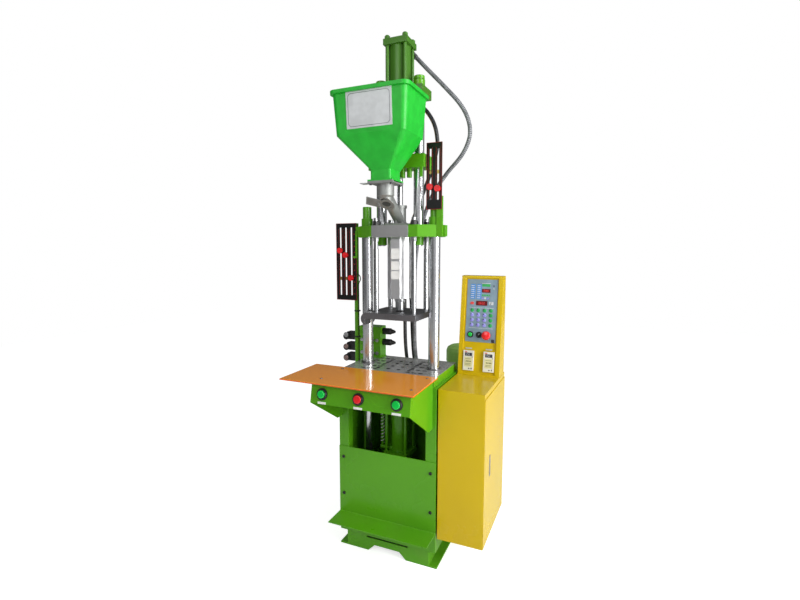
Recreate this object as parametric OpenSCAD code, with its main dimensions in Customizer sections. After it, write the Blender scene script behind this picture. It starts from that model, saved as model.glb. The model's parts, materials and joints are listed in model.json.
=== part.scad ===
// Vertical plunger injection moulding machine: welded base with a steel bed, a clamping
// head that rides on two columns, a hydraulic injection unit above it, and a control cabinet.
// Millimetres, Z up. Every piece is drawn from the clamp axis at floor level, and the whole
// machine is then shifted so that its origin is the centre of its footprint.

/* [Base frame] */
// Width of the welded base
frame_w = 468; // [440:2:560]
// Depth of the welded base
frame_d = 320; // [300:2:420]
// Height of the base under the bed
frame_h = 806; // [740:2:900]
// Width of each front post
post_w = 48; // [36:1:64]
// Thickness of the frame's plates
frame_t = 6; // [4:0.5:10]
// Height of the plinth under the base
plinth_h = 77; // [60:1:110]
// Width of the plinth between its outer webs
plinth_w = 404; // [360:2:430]
// Width of each floor flange
floor_flange = 37; // [24:1:50]
// Height of the gap cut in the plinth's front skirt
notch_h = 31; // [16:1:45]
// Top of the front cover above the floor
cover_top = 484; // [420:2:560]
// Bottom of the front cover above the floor
cover_bottom = 165; // [140:1:220]
// Depth of the foot shelf folded out of the cover
shelf_d = 109; // [60:1:140]

/* [Bed and table] */
// Width of the steel bed
bed_w = 444; // [400:2:460]
// Thickness of the steel bed
bed_t = 38; // [28:1:60]
// Spacing of the tapped holes in the bed
bed_pitch = 50; // [40:1:60]
// Width of the work table
table_w = 596; // [500:2:680]
// Depth of the work table
table_d = 274; // [200:2:320]
// Thickness of the work table
table_t = 6; // [4:0.5:12]
// Width of the button bracket
bracket_w = 434; // [400:2:460]

/* [Clamp] */
// Distance between the two columns
column_span = 330; // [310:2:350]
// Diameter of the columns
column_d = 50; // [40:1:56]
// Open height between the bed and the upper platen
daylight = 227; // [180:1:300]
// Width of the upper platen
platen_w = 244; // [220:2:260]
// Depth of the upper platen
platen_d = 230; // [200:2:250]
// Thickness of the upper platen
platen_t = 27; // [20:1:40]
// Height from the platen to the top plate
hang_h = 334; // [300:2:400]
// Thickness of the top plate
top_t = 52; // [40:1:70]
// Diameter of the suspension rods
hanger_d = 23; // [18:1:28]
// How far the head travels down from rest
head_down = 120; // [60:1:140]
// How far the head travels up from rest
head_up = 50; // [20:1:60]

/* [Injection unit] */
// Distance between the two injection rods
rod_span = 180; // [170:2:190]
// Diameter of the injection rods
rod_d = 46; // [36:1:50]
// Clear height between the top plate and the cylinder plate
rod_h = 538; // [500:2:620]
// Travel of the ram each way from rest
ram_travel = 75; // [40:1:80]
// Diameter of the plunger
plunger_d = 26; // [20:1:32]
// Outer diameter of the injection cylinder
tube_d = 94; // [80:1:98]
// Length of the injection cylinder's tube
tube_h = 159; // [159:1:220]
// Width across the flats of the barrel guard
guard_w = 104; // [96:1:116]

/* [Hopper] */
// Width of the hopper at its rim
hopper_w = 344; // [280:2:360]
// Depth of the hopper at its rim
hopper_d = 246; // [220:2:280]
// Height of the hopper's straight upper part
hopper_body_h = 170; // [120:2:200]
// Height of the hopper's taper
hopper_taper_h = 128; // [100:2:160]
// Wall of the hopper
hopper_wall = 3; // [2:0.5:5]

/* [Control cabinet] */
// Width of the cabinet
cabinet_w = 196; // [180:2:260]
// Depth of the cabinet
cabinet_d = 392; // [384:2:396]
// Height of the cabinet's underside above the floor
cabinet_low = 145; // [100:1:200]
// Height of the console on the cabinet
console_h = 454; // [440:2:520]

/* [Hidden] */
$fn = 48;

// Running clearance of a shaft in its bore, on the radius
run_gap = 0.05;
// Free gap between pieces that pass each other
free_gap = 0.5;

green = [0.36, 0.62, 0.16];
yellow = [0.93, 0.80, 0.05];
orange = [0.90, 0.52, 0.20];
steel = [0.72, 0.73, 0.74];
dark_steel = [0.36, 0.36, 0.37];
black = [0.10, 0.10, 0.11];
cast_grey = [0.62, 0.63, 0.62];

// Frame faces
half_w = frame_w / 2;
front_y = -frame_d / 2 + 2;
back_y = front_y + frame_d;
plinth_front = front_y + 6;
plinth_web = 8;
flange_t = 8;
rail_h = 60;
return_d = 40;
cover_t = 3;
shelf_t = 4;

// Bed and table
bed_z = frame_h + bed_t;
bed_y0 = front_y;
bed_d = frame_d - 2;
table_x1 = half_w + 2;
table_x0 = table_x1 - table_w;
table_y1 = front_y + 12;
table_y0 = table_y1 - table_d;
bush_wall = 4;
bush_flange = 6;
column_x = column_span / 2;

// Button bracket: the face leans, with its lower edge further forward
bracket_y = table_y0 + 26;
bracket_h = 80;
bracket_lean = 16;
bracket_t = 3;
bracket_low = bed_z - 214;
lean_a = atan(bracket_lean / bracket_h);
button_pitch = 163;
button_z = bed_z - 41;
button_tilt = 90 - lean_a;
button_cap_d = 32;
button_stem_d = 16;

// Oil tank and motor behind the frame
tank_x0 = -190;
tank_w = 480;
tank_gap = 78;
tank_d = 190;
tank_h = 540;
tank_z = plinth_h;
motor_x = 197;
motor_y = back_y + tank_gap + 90;
motor_d = 150;
base_back = back_y + tank_gap + tank_d;

// Clamp levels
platen_z = bed_z + daylight;
top_z = platen_z + platen_t + hang_h;
head_z = top_z + top_t;
hanger_x = 91;
thread_d = 20;
column_neck_d = 38;
cross_z = 310;
cross_t = 50;
clamp_d = 80;
clamp_bore = 66;
clamp_len = frame_h - cross_z - cross_t - head_up - 4;
clamp_flange = 116;
clamp_tie_x = 47;
clamp_tie_d = 14;
clamp_rod_d = 42;
piston_t = 30;
gland_t = 36;
clamp_pipe_d = 12;
clamp_pipe_x = -78;
clamp_pipe_y = -25;
socket_d = 16;
socket_h = min(20, platen_t - 4);

// Top plate plan: a straight front and back with chamfered ends
top_front = -74;
top_back = 116;
top_flat = 113;
top_end = column_x + 36;
top_end_front = -12;
top_end_back = 44;
lug_w = 17;
lug_d = 28;
hanger_front = -60;
hanger_back = 95;

// Injection unit levels
rod_x = rod_span / 2;
rod_neck_d = 34;
cyl_plate_z = head_z + rod_h;
cyl_plate_t = 40;
cyl_z = cyl_plate_z + cyl_plate_t;
flange_w = 110;
cyl_flange_t = 25;
cyl_foot_t = 20;
tie_x = 41;
tie_d = 16;
ram_z = head_z + 242;
ram_t = 56;
ram_half = 131;
piston_rod_d = 40;
cyl_bore = 74;
port_x = 15;

// Barrel
barrel_d = 60;
barrel_neck = 46;
barrel_low = platen_z + platen_t + 67;
guard_low = platen_z + platen_t + 60;
guard_t = 2;
nozzle_tip = platen_z + 6;
nozzle_hole = 44;

// Feed casting and hopper
feed_y = -150;
feed_z = head_z + 168;
neck_w = 92;
neck_d = 104;
neck_y = feed_y;
neck_h = 44;
feed_tube_d = 48;
feed_bore = 38;
feed_hole = 66;
pipe_top_d = 72;
pipe_low_d = 56;
drain_d = 42;
drain_tilt = 35;
drain_z = feed_z - 107;
drain_rise = 22;
lid_pivot_x = -34;
lid_turn = 25;
lid_pin_d = 6;
gate_t = 3;
gate_z = feed_z + free_gap;
hopper_z = gate_z + gate_t + free_gap;
hopper_x = -8;
hopper_y = -181;
rim_h = 14;
rim_out = 9;

// Cabinet and console
cab_x0 = half_w + 7;
cab_x1 = cab_x0 + cabinet_w;
cab_z1 = frame_h - 3;
cab_y0 = front_y;
cab_y1 = cab_y0 + cabinet_d;
cab_t = 2;
console_x0 = cab_x0 + 2;
console_w = cabinet_w - 3;
console_y = cab_y0 + 270;
console_lean = 58;
console_back = cab_y0 + 376;
console_a = atan(console_lean / console_h);

key_x = [51, 91, 128];
key_v = 187;
key_face = -3.6;
key_stem_d = 14;
key_head_d = 18.6;
controller_x = [24, 118];
controller_v = 21;
controller_w = 49;
controller_h = 92;
panel_x = 27;
panel_v = 154;
panel_w = 141;
panel_h = 288;
handle_y = cab_y0 + 98;
handle_z = cabinet_low + 324;

// Hydraulic block on the bed's rear left corner
manifold_x0 = -268;
manifold_x1 = -150;
manifold_y = 100;
manifold_d = 66;
manifold_h = 153;
valve_step = 55;
coil_d = 32;

// Scales
slot_w = 8;
stud_d = 6.6;
left_slots = [24, 53, 82];
left_knob_z = [235, 214, 107];
right_slots = [18, 52];
right_knob_z = [94, 86];
left_scale_w = 108;
left_scale_h = 363;
left_scale_z = top_z - 295;
left_scale_x1 = -top_end - lug_w - 4;
left_scale_y = 0;
right_scale_w = 70;
right_scale_h = 278;
right_scale_z = head_z + 64;
right_scale_x0 = 136;
right_scale_y = -26.5;
scale_t = 4;

// Hoses and conduit, as points along their middles
hose_d = 18;
lead_d = 14;
tank_top = tank_z + tank_h + 6;
coupling_top = tank_top + 20;
hose_ends_x = [0, -52, -26];
hose_ends_y = [270, 270, 292];
elbow_y = flange_w / 2 + 27;
gland_x = -62;
upper_hose = [
    [43, 82, 2224], [71, 82, 2194], [99, 82, 2164], [178, 82, 2081], [244, 82, 2006],
    [280, 82, 1944], [293, 82, 1886], [284, 84, 1836], [250, 90, 1780], [178, 106, 1710],
    [104, 130, 1620], [46, 150, 1490], [12, 164, 1340], [2, 174, 1180], [0, 180, 1040],
    [0, 186, 920], [0, 206, 830], [0, 236, 770], [0, 260, 725], [0, 270, 690],
    [0, 270, coupling_top]
];
lower_hose = [
    [43, 82, 2042], [71, 82, 2012], [99, 82, 1982], [126, 82, 1938], [141, 84, 1886],
    [140, 92, 1826], [104, 116, 1730], [40, 142, 1600], [-20, 158, 1460], [-46, 170, 1320],
    [-52, 178, 1160], [-52, 182, 1040], [-52, 188, 920], [-52, 208, 830], [-52, 238, 770],
    [-52, 262, 725], [-52, 270, 690], [-52, 270, coupling_top]
];
heater_lead = [
    [-62, 137, 1458], [-62, 150, 1458], [-62, 177, 1453], [-61, 200, 1437], [-59, 215, 1414],
    [-56, 221, 1386], [-48, 223, 1300], [-40, 222, 1180], [-34, 222, 1060], [-30, 224, 940],
    [-28, 234, 850], [-26, 256, 780], [-26, 282, 725], [-26, 292, 690],
    [-26, 292, coupling_top]
];

// Machine limits, for the origin
mid_x = (table_x0 + cab_x1 + cab_t + 2) / 2;
mid_y = (table_y0 + base_back) / 2;

module at_origin() {
    translate([-mid_x, -mid_y, 0])
        children();
}

// A box given by its two opposite corners
module span(a, b) {
    translate(a)
        cube(b - a);
}

// A flat outline in the YZ plane, carried along X from x0
module along_x(x0, len, pts) {
    translate([x0, 0, 0])
        rotate([90, 0, 90])
            linear_extrude(len)
                polygon(pts);
}

// The plan of a head plate: straight front and back, chamfered ends
module plate_plan(flat, front, back, end, end_front, end_back) {
    polygon([
        [-flat, front], [flat, front], [end, end_front], [end, end_back],
        [flat, back], [-flat, back], [-end, end_back], [-end, end_front]
    ]);
}

module hole(d, z0, z1) {
    translate([0, 0, z0])
        cylinder(d = d, h = z1 - z0);
}

// ---------------------------------------------------------------- base

module skirt_outline() {
    cut_low = 93;
    cut_top = 61;
    half = plinth_w / 2;
    polygon([
        [-half, 0], [-cut_low, 0], [-cut_top, notch_h], [cut_top, notch_h],
        [cut_low, 0], [half, 0], [half, plinth_h], [-half, plinth_h]
    ]);
}

module skirt(y, slotted) {
    slot_w = 204;
    slot_h = 7;
    translate([0, y + frame_t, 0])
        rotate([90, 0, 0])
            linear_extrude(frame_t)
                difference() {
                    skirt_outline();
                    if (slotted)
                        translate([-slot_w / 2, plinth_h - 15])
                            square([slot_w, slot_h]);
                }
}

module plinth_side() {
    half = plinth_w / 2;
    span([half - plinth_web, plinth_front, 0], [half, base_back, plinth_h]);
    span([half - plinth_web, plinth_front, 0], [half + floor_flange, base_back, flange_t]);
}

module front_post() {
    span([half_w - post_w, front_y, plinth_h], [half_w, front_y + frame_t, frame_h]);
    span([half_w - post_w, front_y, plinth_h],
         [half_w - post_w + frame_t, front_y + return_d, frame_h]);
}

module base_frame() {
    plate = frame_t + 2;
    rail_t = cab_x0 - half_w;
    color(green)
        at_origin() {
            plinth_side();
            mirror([1, 0, 0])
                plinth_side();
            skirt(plinth_front, true);
            skirt(base_back - frame_t, false);
            span([-half_w, front_y, plinth_h], [half_w, back_y, plinth_h + frame_t]);
            span([-half_w, front_y, plinth_h], [half_w, front_y + frame_t, cover_bottom]);
            for (z = [cabinet_low + 80, cab_z1 - 120])
                span([half_w - 1, front_y + 30, z], [half_w + rail_t, back_y - 60, z + 40]);
            front_post();
            mirror([1, 0, 0])
                front_post();
            for (side = [-1, 1])
                span([side * (half_w - frame_t / 2) - frame_t / 2, front_y, plinth_h],
                     [side * (half_w - frame_t / 2) + frame_t / 2, back_y, frame_h]);
            span([-half_w, back_y - frame_t, plinth_h], [half_w, back_y, frame_h]);
            span([-half_w, front_y, frame_h - rail_h], [half_w, front_y + frame_t, frame_h]);
            difference() {
                span([-half_w, front_y, frame_h - plate], [half_w, back_y, frame_h]);
                hole(clamp_flange * 1.5, frame_h - plate - 1, frame_h + 1);
                for (side = [-1, 1])
                    translate([side * column_x, 0, 0])
                        hole(column_d + 2 * bush_wall + 8, frame_h - plate - 1, frame_h + 1);
            }
        }
}

module front_cover() {
    inset = 23;
    rise = 94;
    lip = front_y - shelf_d;
    color(green)
        at_origin()
            difference() {
                along_x(-half_w, frame_w, [
                    [front_y, cover_top], [front_y - cover_t, cover_top],
                    [front_y - cover_t, cover_bottom + shelf_t + 2],
                    [front_y - cover_t - 2, cover_bottom + shelf_t],
                    [lip, cover_bottom + shelf_t], [lip, cover_bottom],
                    [front_y, cover_bottom]
                ]);
                for (side = [-1, 1], level = [cover_bottom + rise, cover_top - 50])
                    translate([side * (half_w - inset), front_y + 1, level])
                        rotate([90, 0, 0])
                            cylinder(d = 9, h = cover_t + 2);
            }
}

module bed_plate() {
    tap_d = 10.2;
    color(steel)
        at_origin()
            difference() {
                span([-bed_w / 2, bed_y0, frame_h], [bed_w / 2, bed_y0 + bed_d, bed_z]);
                for (side = [-1, 1])
                    translate([side * column_x, 0, 0])
                        hole(column_d + 2 * bush_wall, frame_h - 1, bed_z + 1);
                hole(30, bed_z - 24, bed_z + 1);
                for (i = [-1.5 : 1 : 1.5], j = [-1.5 : 1 : 1.5])
                    translate([i * bed_pitch, j * bed_pitch, 0])
                        hole(tap_d, bed_z - 24, bed_z + 1);
            }
}

module column_bushes() {
    color(dark_steel)
        at_origin()
            for (side = [-1, 1])
                translate([side * column_x, 0, 0])
                    difference() {
                        union() {
                            hole(column_d + 2 * bush_wall, frame_h - 12, bed_z);
                            hole(column_d + 2 * bush_wall + 4, bed_z, bed_z + bush_flange);
                        }
                        hole(column_d + 2 * run_gap, frame_h - 13, bed_z + bush_flange + 1);
                    }
}

module work_table() {
    color(orange)
        at_origin()
            span([table_x0, table_y0, bed_z], [table_x1, table_y1, bed_z + table_t]);
}

// ---------------------------------------------------------------- buttons

// Puts its child on the leaning face, with Z pointing out at the operator
module on_face(i) {
    drop = bed_z - button_z;
    translate([i * button_pitch, bracket_y - drop * bracket_lean / bracket_h, button_z])
        rotate([button_tilt, 0, 0])
            children();
}

module gusset(x) {
    along_x(x, bracket_t, [
        [front_y, bed_z], [bracket_y, bed_z],
        [bracket_y - bracket_lean, bed_z - bracket_h],
        [front_y - 46, bracket_low], [front_y, bracket_low]
    ]);
}

module button_bracket() {
    half = bracket_w / 2;
    inner = bracket_y + bracket_t / cos(lean_a);
    color(green)
        at_origin()
            difference() {
                union() {
                    gusset(-half);
                    gusset(half - bracket_t);
                    along_x(-half, bracket_w, [
                        [bracket_y, bed_z], [bracket_y - bracket_lean, bed_z - bracket_h],
                        [inner - bracket_lean, bed_z - bracket_h], [inner, bed_z]
                    ]);
                    span([-half, bracket_y, bed_z - bracket_t], [half, front_y, bed_z]);
                }
                for (i = [-1 : 1])
                    on_face(i)
                        translate([0, 0, -10])
                            cylinder(d = 22.4, h = 20);
            }
}

module bezel() {
    difference() {
        union() {
            cylinder(d = 48, h = 6);
            cylinder(d1 = 46, d2 = 40, h = 10);
            translate([0, 0, -26])
                cylinder(d = 22, h = 27);
            translate([-15, -20, -60])
                cube([30, 40, 36]);
        }
        translate([0, 0, 2])
            cylinder(d = button_cap_d + 2 * free_gap, h = 9);
        translate([0, 0, -23])
            cylinder(d = button_stem_d + 2 * run_gap, h = 30);
    }
}

module button_bezels() {
    color(black)
        at_origin()
            for (i = [-1 : 1])
                on_face(i)
                    bezel();
}

module push_cap() {
    rotate_extrude()
        polygon([
            [0, -18], [button_stem_d / 2, -18], [button_stem_d / 2, 7],
            [button_cap_d / 2, 7], [button_cap_d / 2, 13], [button_cap_d / 2 - 3, 15], [0, 15.6]
        ]);
}

module start_button_left() {
    color([0.05, 0.75, 0.25])
        at_origin()
            on_face(-1)
                push_cap();
}

module stop_button() {
    color([0.85, 0.15, 0.12])
        at_origin()
            on_face(0)
                push_cap();
}

module start_button_right() {
    color([0.05, 0.75, 0.25])
        at_origin()
            on_face(1)
                push_cap();
}

// ---------------------------------------------------------------- clamp drive

// Pressure line from the gland end up to the deck and out at the back
module clamp_pipe(low) {
    pipe_top = frame_h - 17;
    port_z = low + 38;
    translate([clamp_pipe_x - 8, clamp_pipe_y, port_z])
        rotate([0, 90, 0])
            cylinder(d = clamp_pipe_d + 6, h = 60);
    translate([clamp_pipe_x, clamp_pipe_y, 0])
        hole(clamp_pipe_d, port_z, pipe_top);
    translate([clamp_pipe_x, clamp_pipe_y - clamp_pipe_d / 2, pipe_top])
        rotate([-90, 0, 0])
            cylinder(d = clamp_pipe_d, h = back_y - frame_t - clamp_pipe_y + clamp_pipe_d / 2);
}

module clamp_cylinder() {
    low = frame_h - clamp_len;
    half = clamp_flange / 2;
    color(green)
        at_origin()
            difference() {
                union() {
                    hole(clamp_d, low, frame_h);
                    span([-half, -half, frame_h - 24], [half, half, frame_h]);
                    span([-half, -half, low + 6], [half, half, low + 30]);
                    hole(clamp_d - 6, low, low + 7);
                    for (x = [-clamp_tie_x, clamp_tie_x], y = [-clamp_tie_x, clamp_tie_x])
                        translate([x, y, 0])
                            hole(clamp_tie_d, low + 8, frame_h - 2);
                    clamp_pipe(low);
                }
                hole(clamp_bore, low + gland_t, frame_h - 30);
                hole(clamp_rod_d + 2 * run_gap, low - 1, low + gland_t + 1);
            }
}

module clamp_rod() {
    low = frame_h - clamp_len;
    piston_z = low + gland_t + head_down + 4;
    color(steel)
        at_origin() {
            hole(clamp_rod_d, cross_z + cross_t, piston_z + 1);
            hole(clamp_bore - 2 * run_gap, piston_z, piston_z + piston_t);
        }
}

module lower_crosshead() {
    color(dark_steel)
        at_origin()
            difference() {
                translate([0, 0, cross_z])
                    linear_extrude(cross_t)
                        plate_plan(120, -62, 62, column_x + 42, -30, 30);
                for (side = [-1, 1])
                    translate([side * column_x, 0, 0])
                        hole(column_neck_d + 2 * run_gap, cross_z - 1, cross_z + cross_t + 1);
            }
}

module oil_tank() {
    lid_t = 6;
    x1 = tank_x0 + tank_w;
    y0 = back_y + tank_gap;
    y1 = y0 + tank_d;
    color(green)
        at_origin() {
            span([tank_x0, y0, tank_z], [x1, y1, tank_z + tank_h]);
            span([tank_x0 - 10, y0, tank_z + tank_h], [x1, y1, tank_z + tank_h + lid_t]);
            translate([tank_x0 + 60, y1 - 60, tank_z + tank_h])
                cylinder(d = 46, h = 44);
            translate([tank_x0 + 60, y1 - 60, tank_z + tank_h + 40])
                cylinder(d = 70, h = 22);
            for (i = [0 : 2])
                translate([hose_ends_x[i], hose_ends_y[i], 0])
                    hole(26, tank_z + tank_h, coupling_top - free_gap);
        }
}

module pump_motor() {
    foot = tank_z + tank_h + 6;
    body_h = 190;
    cowl_h = 80;
    fins = 20;
    color(green)
        at_origin()
            translate([motor_x, motor_y, foot]) {
                cylinder(d = motor_d + 24, h = 14);
                cylinder(d = motor_d - 20, h = body_h);
                for (i = [0 : fins - 1])
                    rotate(i * 360 / fins)
                        translate([0, -2, 18])
                            cube([motor_d / 2 - 3, 4, body_h - 30]);
                translate([0, 0, body_h])
                    rotate_extrude()
                        polygon([
                            [0, 0], [motor_d / 2, 0], [motor_d / 2, cowl_h - 26],
                            [motor_d / 2 - 6, cowl_h - 10], [motor_d / 2 - 22, cowl_h], [0, cowl_h]
                        ]);
                translate([-motor_d / 2 - 26, -34, 90])
                    cube([60, 68, 70]);
            }
}

// ---------------------------------------------------------------- control cabinet

module control_cabinet() {
    door_y0 = cab_y0 + 20;
    door_y1 = cab_y1 - 20;
    color(yellow)
        at_origin()
            difference() {
                span([cab_x0, cab_y0, cabinet_low], [cab_x1, cab_y1, cab_z1]);
                span([cab_x0 + cab_t, cab_y0 + cab_t, cabinet_low + cab_t],
                     [cab_x1 - cab_t, cab_y1 - cab_t, cab_z1 - cab_t]);
                span([cab_x1 - cab_t - 1, door_y0, cabinet_low + 20],
                     [cab_x1 + 1, door_y1, cab_z1 - 42]);
            }
}

module cabinet_door() {
    lap = 1;
    color(yellow)
        at_origin()
            difference() {
                span([cab_x1 + free_gap, cab_y0 + lap, cabinet_low + lap],
                     [cab_x1 + free_gap + cab_t, cab_y1 - lap, cab_z1 - 22]);
                span([cab_x1, handle_y - 9, handle_z - 46],
                     [cab_x1 + 10, handle_y + 9, handle_z + 46]);
            }
}

module door_handle() {
    tray = 7;
    color(steel)
        at_origin()
            difference() {
                span([cab_x1 - tray, handle_y - 9 + free_gap, handle_z - 45],
                     [cab_x1 + cab_t + 2, handle_y + 9 - free_gap, handle_z + 45]);
                span([cab_x1 - tray + 2, handle_y - 6, handle_z - 40],
                     [cab_x1 + cab_t + 3, handle_y + 6, handle_z + 22]);
            }
}

module door_lever() {
    color(steel)
        at_origin()
            span([cab_x1 - 1, handle_y - 6 + free_gap, handle_z - 36],
                 [cab_x1 + cab_t + 1, handle_y + 6 - free_gap, handle_z + 21]);
}

// A point of the console's leaning face: x across, v up the face
module on_console(x, v) {
    translate([x, console_y + v * sin(console_a), cab_z1 + v * cos(console_a)])
        rotate([90 - console_a, 0, 0])
            children();
}

module console_housing() {
    rim = 20;
    recess = 6;
    z1 = cab_z1 + console_h;
    face = console_h / cos(console_a);
    color(yellow)
        at_origin()
            difference() {
                along_x(console_x0, console_w, [
                    [console_y, cab_z1], [console_y + console_lean, z1],
                    [console_back, z1], [console_back, cab_z1]
                ]);
                on_console(console_x0 + rim, 8)
                    translate([0, 0, -recess])
                        cube([console_w - 2 * rim, face - 18, recess + 1]);
                for (i = [0 : 2])
                    on_console(console_x0 + key_x[i], key_v)
                        translate([0, 0, -50])
                            cylinder(d = 22.4, h = 60);
                for (i = [0, 1])
                    on_console(console_x0 + controller_x[i], controller_v)
                        translate([1, 1, -40])
                            cube([controller_w - 2, controller_h - 2, 50]);
            }
}

module control_panel() {
    color([0.55, 0.60, 0.62])
        at_origin()
            difference() {
                on_console(console_x0 + panel_x, panel_v)
                    translate([0, 0, -6])
                        cube([panel_w, panel_h, 2.4]);
                for (i = [0 : 2])
                    on_console(console_x0 + key_x[i], key_v)
                        translate([0, 0, -10])
                            cylinder(d = 22.4, h = 12);
            }
}

module temperature_controllers() {
    color(cast_grey)
        at_origin()
            for (i = [0, 1])
                on_console(console_x0 + controller_x[i], controller_v) {
                    translate([0, 0, -5.9])
                        cube([controller_w, controller_h, 9]);
                    translate([2, 2, -40])
                        cube([controller_w - 4, controller_h - 4, 40]);
                }
}

module console_button() {
    color([0.05, 0.75, 0.25])
        at_origin()
            on_console(console_x0 + key_x[0], key_v)
                translate([0, 0, key_face])
                    rotate_extrude()
                        polygon([
                            [0, -24], [key_stem_d / 2, -24], [key_stem_d / 2, -0.6],
                            [key_head_d / 2, -0.6], [key_head_d / 2, 7],
                            [key_head_d / 2 - 1.5, 8.6], [0, 9]
                        ]);
}

module console_bezels() {
    color(black)
        at_origin()
            for (i = [0 : 2])
                on_console(console_x0 + key_x[i], key_v)
                    translate([0, 0, key_face])
                        difference() {
                            union() {
                                cylinder(d = 29, h = 3);
                                translate([0, 0, -34])
                                    cylinder(d = 22, h = 35);
                            }
                            translate([0, 0, -30])
                                cylinder(d = key_stem_d + 2 * run_gap, h = 40);
                            translate([0, 0, -5.6])
                                cylinder(d = key_head_d + 2 * free_gap, h = 12);
                        }
}

module selector_knob() {
    color(black)
        at_origin()
            on_console(console_x0 + key_x[1], key_v)
                translate([0, 0, key_face]) {
                    rotate_extrude()
                        polygon([
                            [0, -24], [key_stem_d / 2, -24], [key_stem_d / 2, -0.6],
                            [key_head_d / 2, -0.6], [key_head_d / 2, 5], [0, 5]
                        ]);
                    rotate(-45)
                        translate([-3.5, -9, 4])
                            cube([7, 18, 11]);
                }
}

module emergency_stop() {
    color([0.85, 0.10, 0.10])
        at_origin()
            on_console(console_x0 + key_x[2], key_v)
                translate([0, 0, key_face])
                    rotate_extrude()
                        polygon([
                            [0, -24], [key_stem_d / 2, -24], [key_stem_d / 2, 12],
                            [18, 12], [20, 15],
                            [20, 22], [17, 26], [8, 28.4], [0, 29]
                        ]);
}

// ---------------------------------------------------------------- hydraulics on the bed

module manifold() {
    plug_d = 18;
    color(green)
        at_origin() {
            span([manifold_x0, manifold_y, bed_z + 3],
                 [manifold_x1, manifold_y + manifold_d, bed_z + manifold_h]);
            span([manifold_x0 + 40, manifold_y - 4, bed_z],
                 [manifold_x1 + 6, bed_y0 + bed_d, bed_z + 3.5]);
            span([manifold_x0, manifold_y, bed_z - 40],
                 [-half_w - 2, manifold_y + manifold_d, bed_z + 4]);
            for (i = [0 : 2])
                translate([manifold_x0 + 28, manifold_y, bed_z + 14 + i * valve_step])
                    rotate([90, 0, 0])
                        cylinder(d = plug_d, h = 6, $fn = 6);
        }
}

module solenoid_valves() {
    coil_l = 42;
    tip_l = 24;
    body_l = 76;
    cap_d = 34;
    color(black)
        at_origin() {
            for (i = [0, 1])
                translate([manifold_x1, manifold_y + 36, bed_z + 74 + i * valve_step])
                    rotate([0, 90, 0])
                        rotate_extrude()
                            polygon([
                                [0, 0], [coil_d / 2, 0], [coil_d / 2, coil_l],
                                [coil_d / 2 - 4, coil_l + 5], [9, coil_l + tip_l - 6],
                                [6, coil_l + tip_l - 6], [6, coil_l + tip_l], [0, coil_l + tip_l]
                            ]);
            for (i = [0 : 2])
                translate([manifold_x0, manifold_y + 30, bed_z + i * valve_step - 14]) {
                    translate([-body_l, -21, -18])
                        cube([body_l, 42, 38]);
                    translate([-body_l + 2, -20, -2])
                        rotate([90, 0, 0])
                            cylinder(d = cap_d, h = 12);
                }
        }
}

module pressure_gauge() {
    stem_z = bed_z + manifold_h;
    dial_d = 60;
    color(black)
        at_origin()
            translate([manifold_x0 + 36, manifold_y + 30, stem_z]) {
                cylinder(d = 14, h = 12);
                translate([0, -2, 8 + dial_d / 2])
                    rotate([90, 0, 0])
                        difference() {
                            translate([0, 0, -22])
                                cylinder(d = dial_d, h = 32);
                            translate([0, 0, 7])
                                cylinder(d = dial_d - 8, h = 4);
                        }
            }
}

// ---------------------------------------------------------------- scales

// A flat plate with upright slots, its front face at y
module slotted_plate(w, h, slots, slot_w, low, high) {
    rotate([90, 0, 0])
        linear_extrude(scale_t)
            difference() {
                square([w, h]);
                for (x = slots)
                    translate([x - slot_w / 2, low])
                        square([slot_w, high - low]);
            }
}

module left_scale() {
    color(black)
        at_origin()
            translate([left_scale_x1 - left_scale_w, left_scale_y, left_scale_z])
                slotted_plate(left_scale_w, left_scale_h, left_slots, slot_w,
                              24, left_scale_h - 20);
}

module left_scale_post() {
    bar_d = 22;
    x = left_scale_x1 - bar_d / 2;
    y = left_scale_y + 7 + bar_d / 2;
    color(green)
        at_origin() {
            translate([x, y, 0])
                hole(bar_d, frame_h, left_scale_z + left_scale_h);
            for (z = [left_scale_z, left_scale_z + left_scale_h - 16])
                span([x - 9, left_scale_y, z], [x + 9, y, z + 16]);
        }
}

module right_scale() {
    color(black)
        at_origin()
            translate([right_scale_x0, right_scale_y, right_scale_z])
                slotted_plate(right_scale_w, right_scale_h, right_slots, slot_w,
                              40, right_scale_h - 26);
}

module right_scale_post() {
    x = top_end;
    low = top_z + 2;
    y = right_scale_y;
    color(green)
        at_origin() {
            translate([0, 0, low])
                linear_extrude(right_scale_z + 24 - low)
                    polygon([[x - 20, y], [x + 7, y], [x + 7, y + 12], [x - 2.9, y + 12]]);
            span([x - 2, y, low], [x + 7, y + 12, right_scale_z + 56]);
        }
}

// A knurled knob with its stud, washer and pointer, clamped on the plate's front at [0, 0]
module scale_knob() {
    rotate([90, 0, 0]) {
        translate([0, 0, scale_t + free_gap])
            cylinder(d = 27, h = 13);
        translate([0, 0, -free_gap - 4])
            cylinder(d = stud_d, h = scale_t + 8);
        translate([0, 0, -free_gap - 5])
            cylinder(d = 12, h = 5);
    }
}

module left_knob(i) {
    color([0.85, 0.12, 0.10])
        at_origin()
            translate([left_scale_x1 - left_scale_w + left_slots[i], left_scale_y,
                       left_scale_z + left_knob_z[i]])
                scale_knob();
}

module left_knob_a() {
    left_knob(0);
}

module left_knob_b() {
    left_knob(1);
}

module left_knob_c() {
    left_knob(2);
}

module right_knob(i) {
    color([0.85, 0.12, 0.10])
        at_origin()
            translate([right_scale_x0 + right_slots[i], right_scale_y,
                       right_scale_z + right_knob_z[i]])
                scale_knob();
}

module right_knob_a() {
    right_knob(0);
}

module right_knob_b() {
    right_knob(1);
}

// ---------------------------------------------------------------- clamping head

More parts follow.
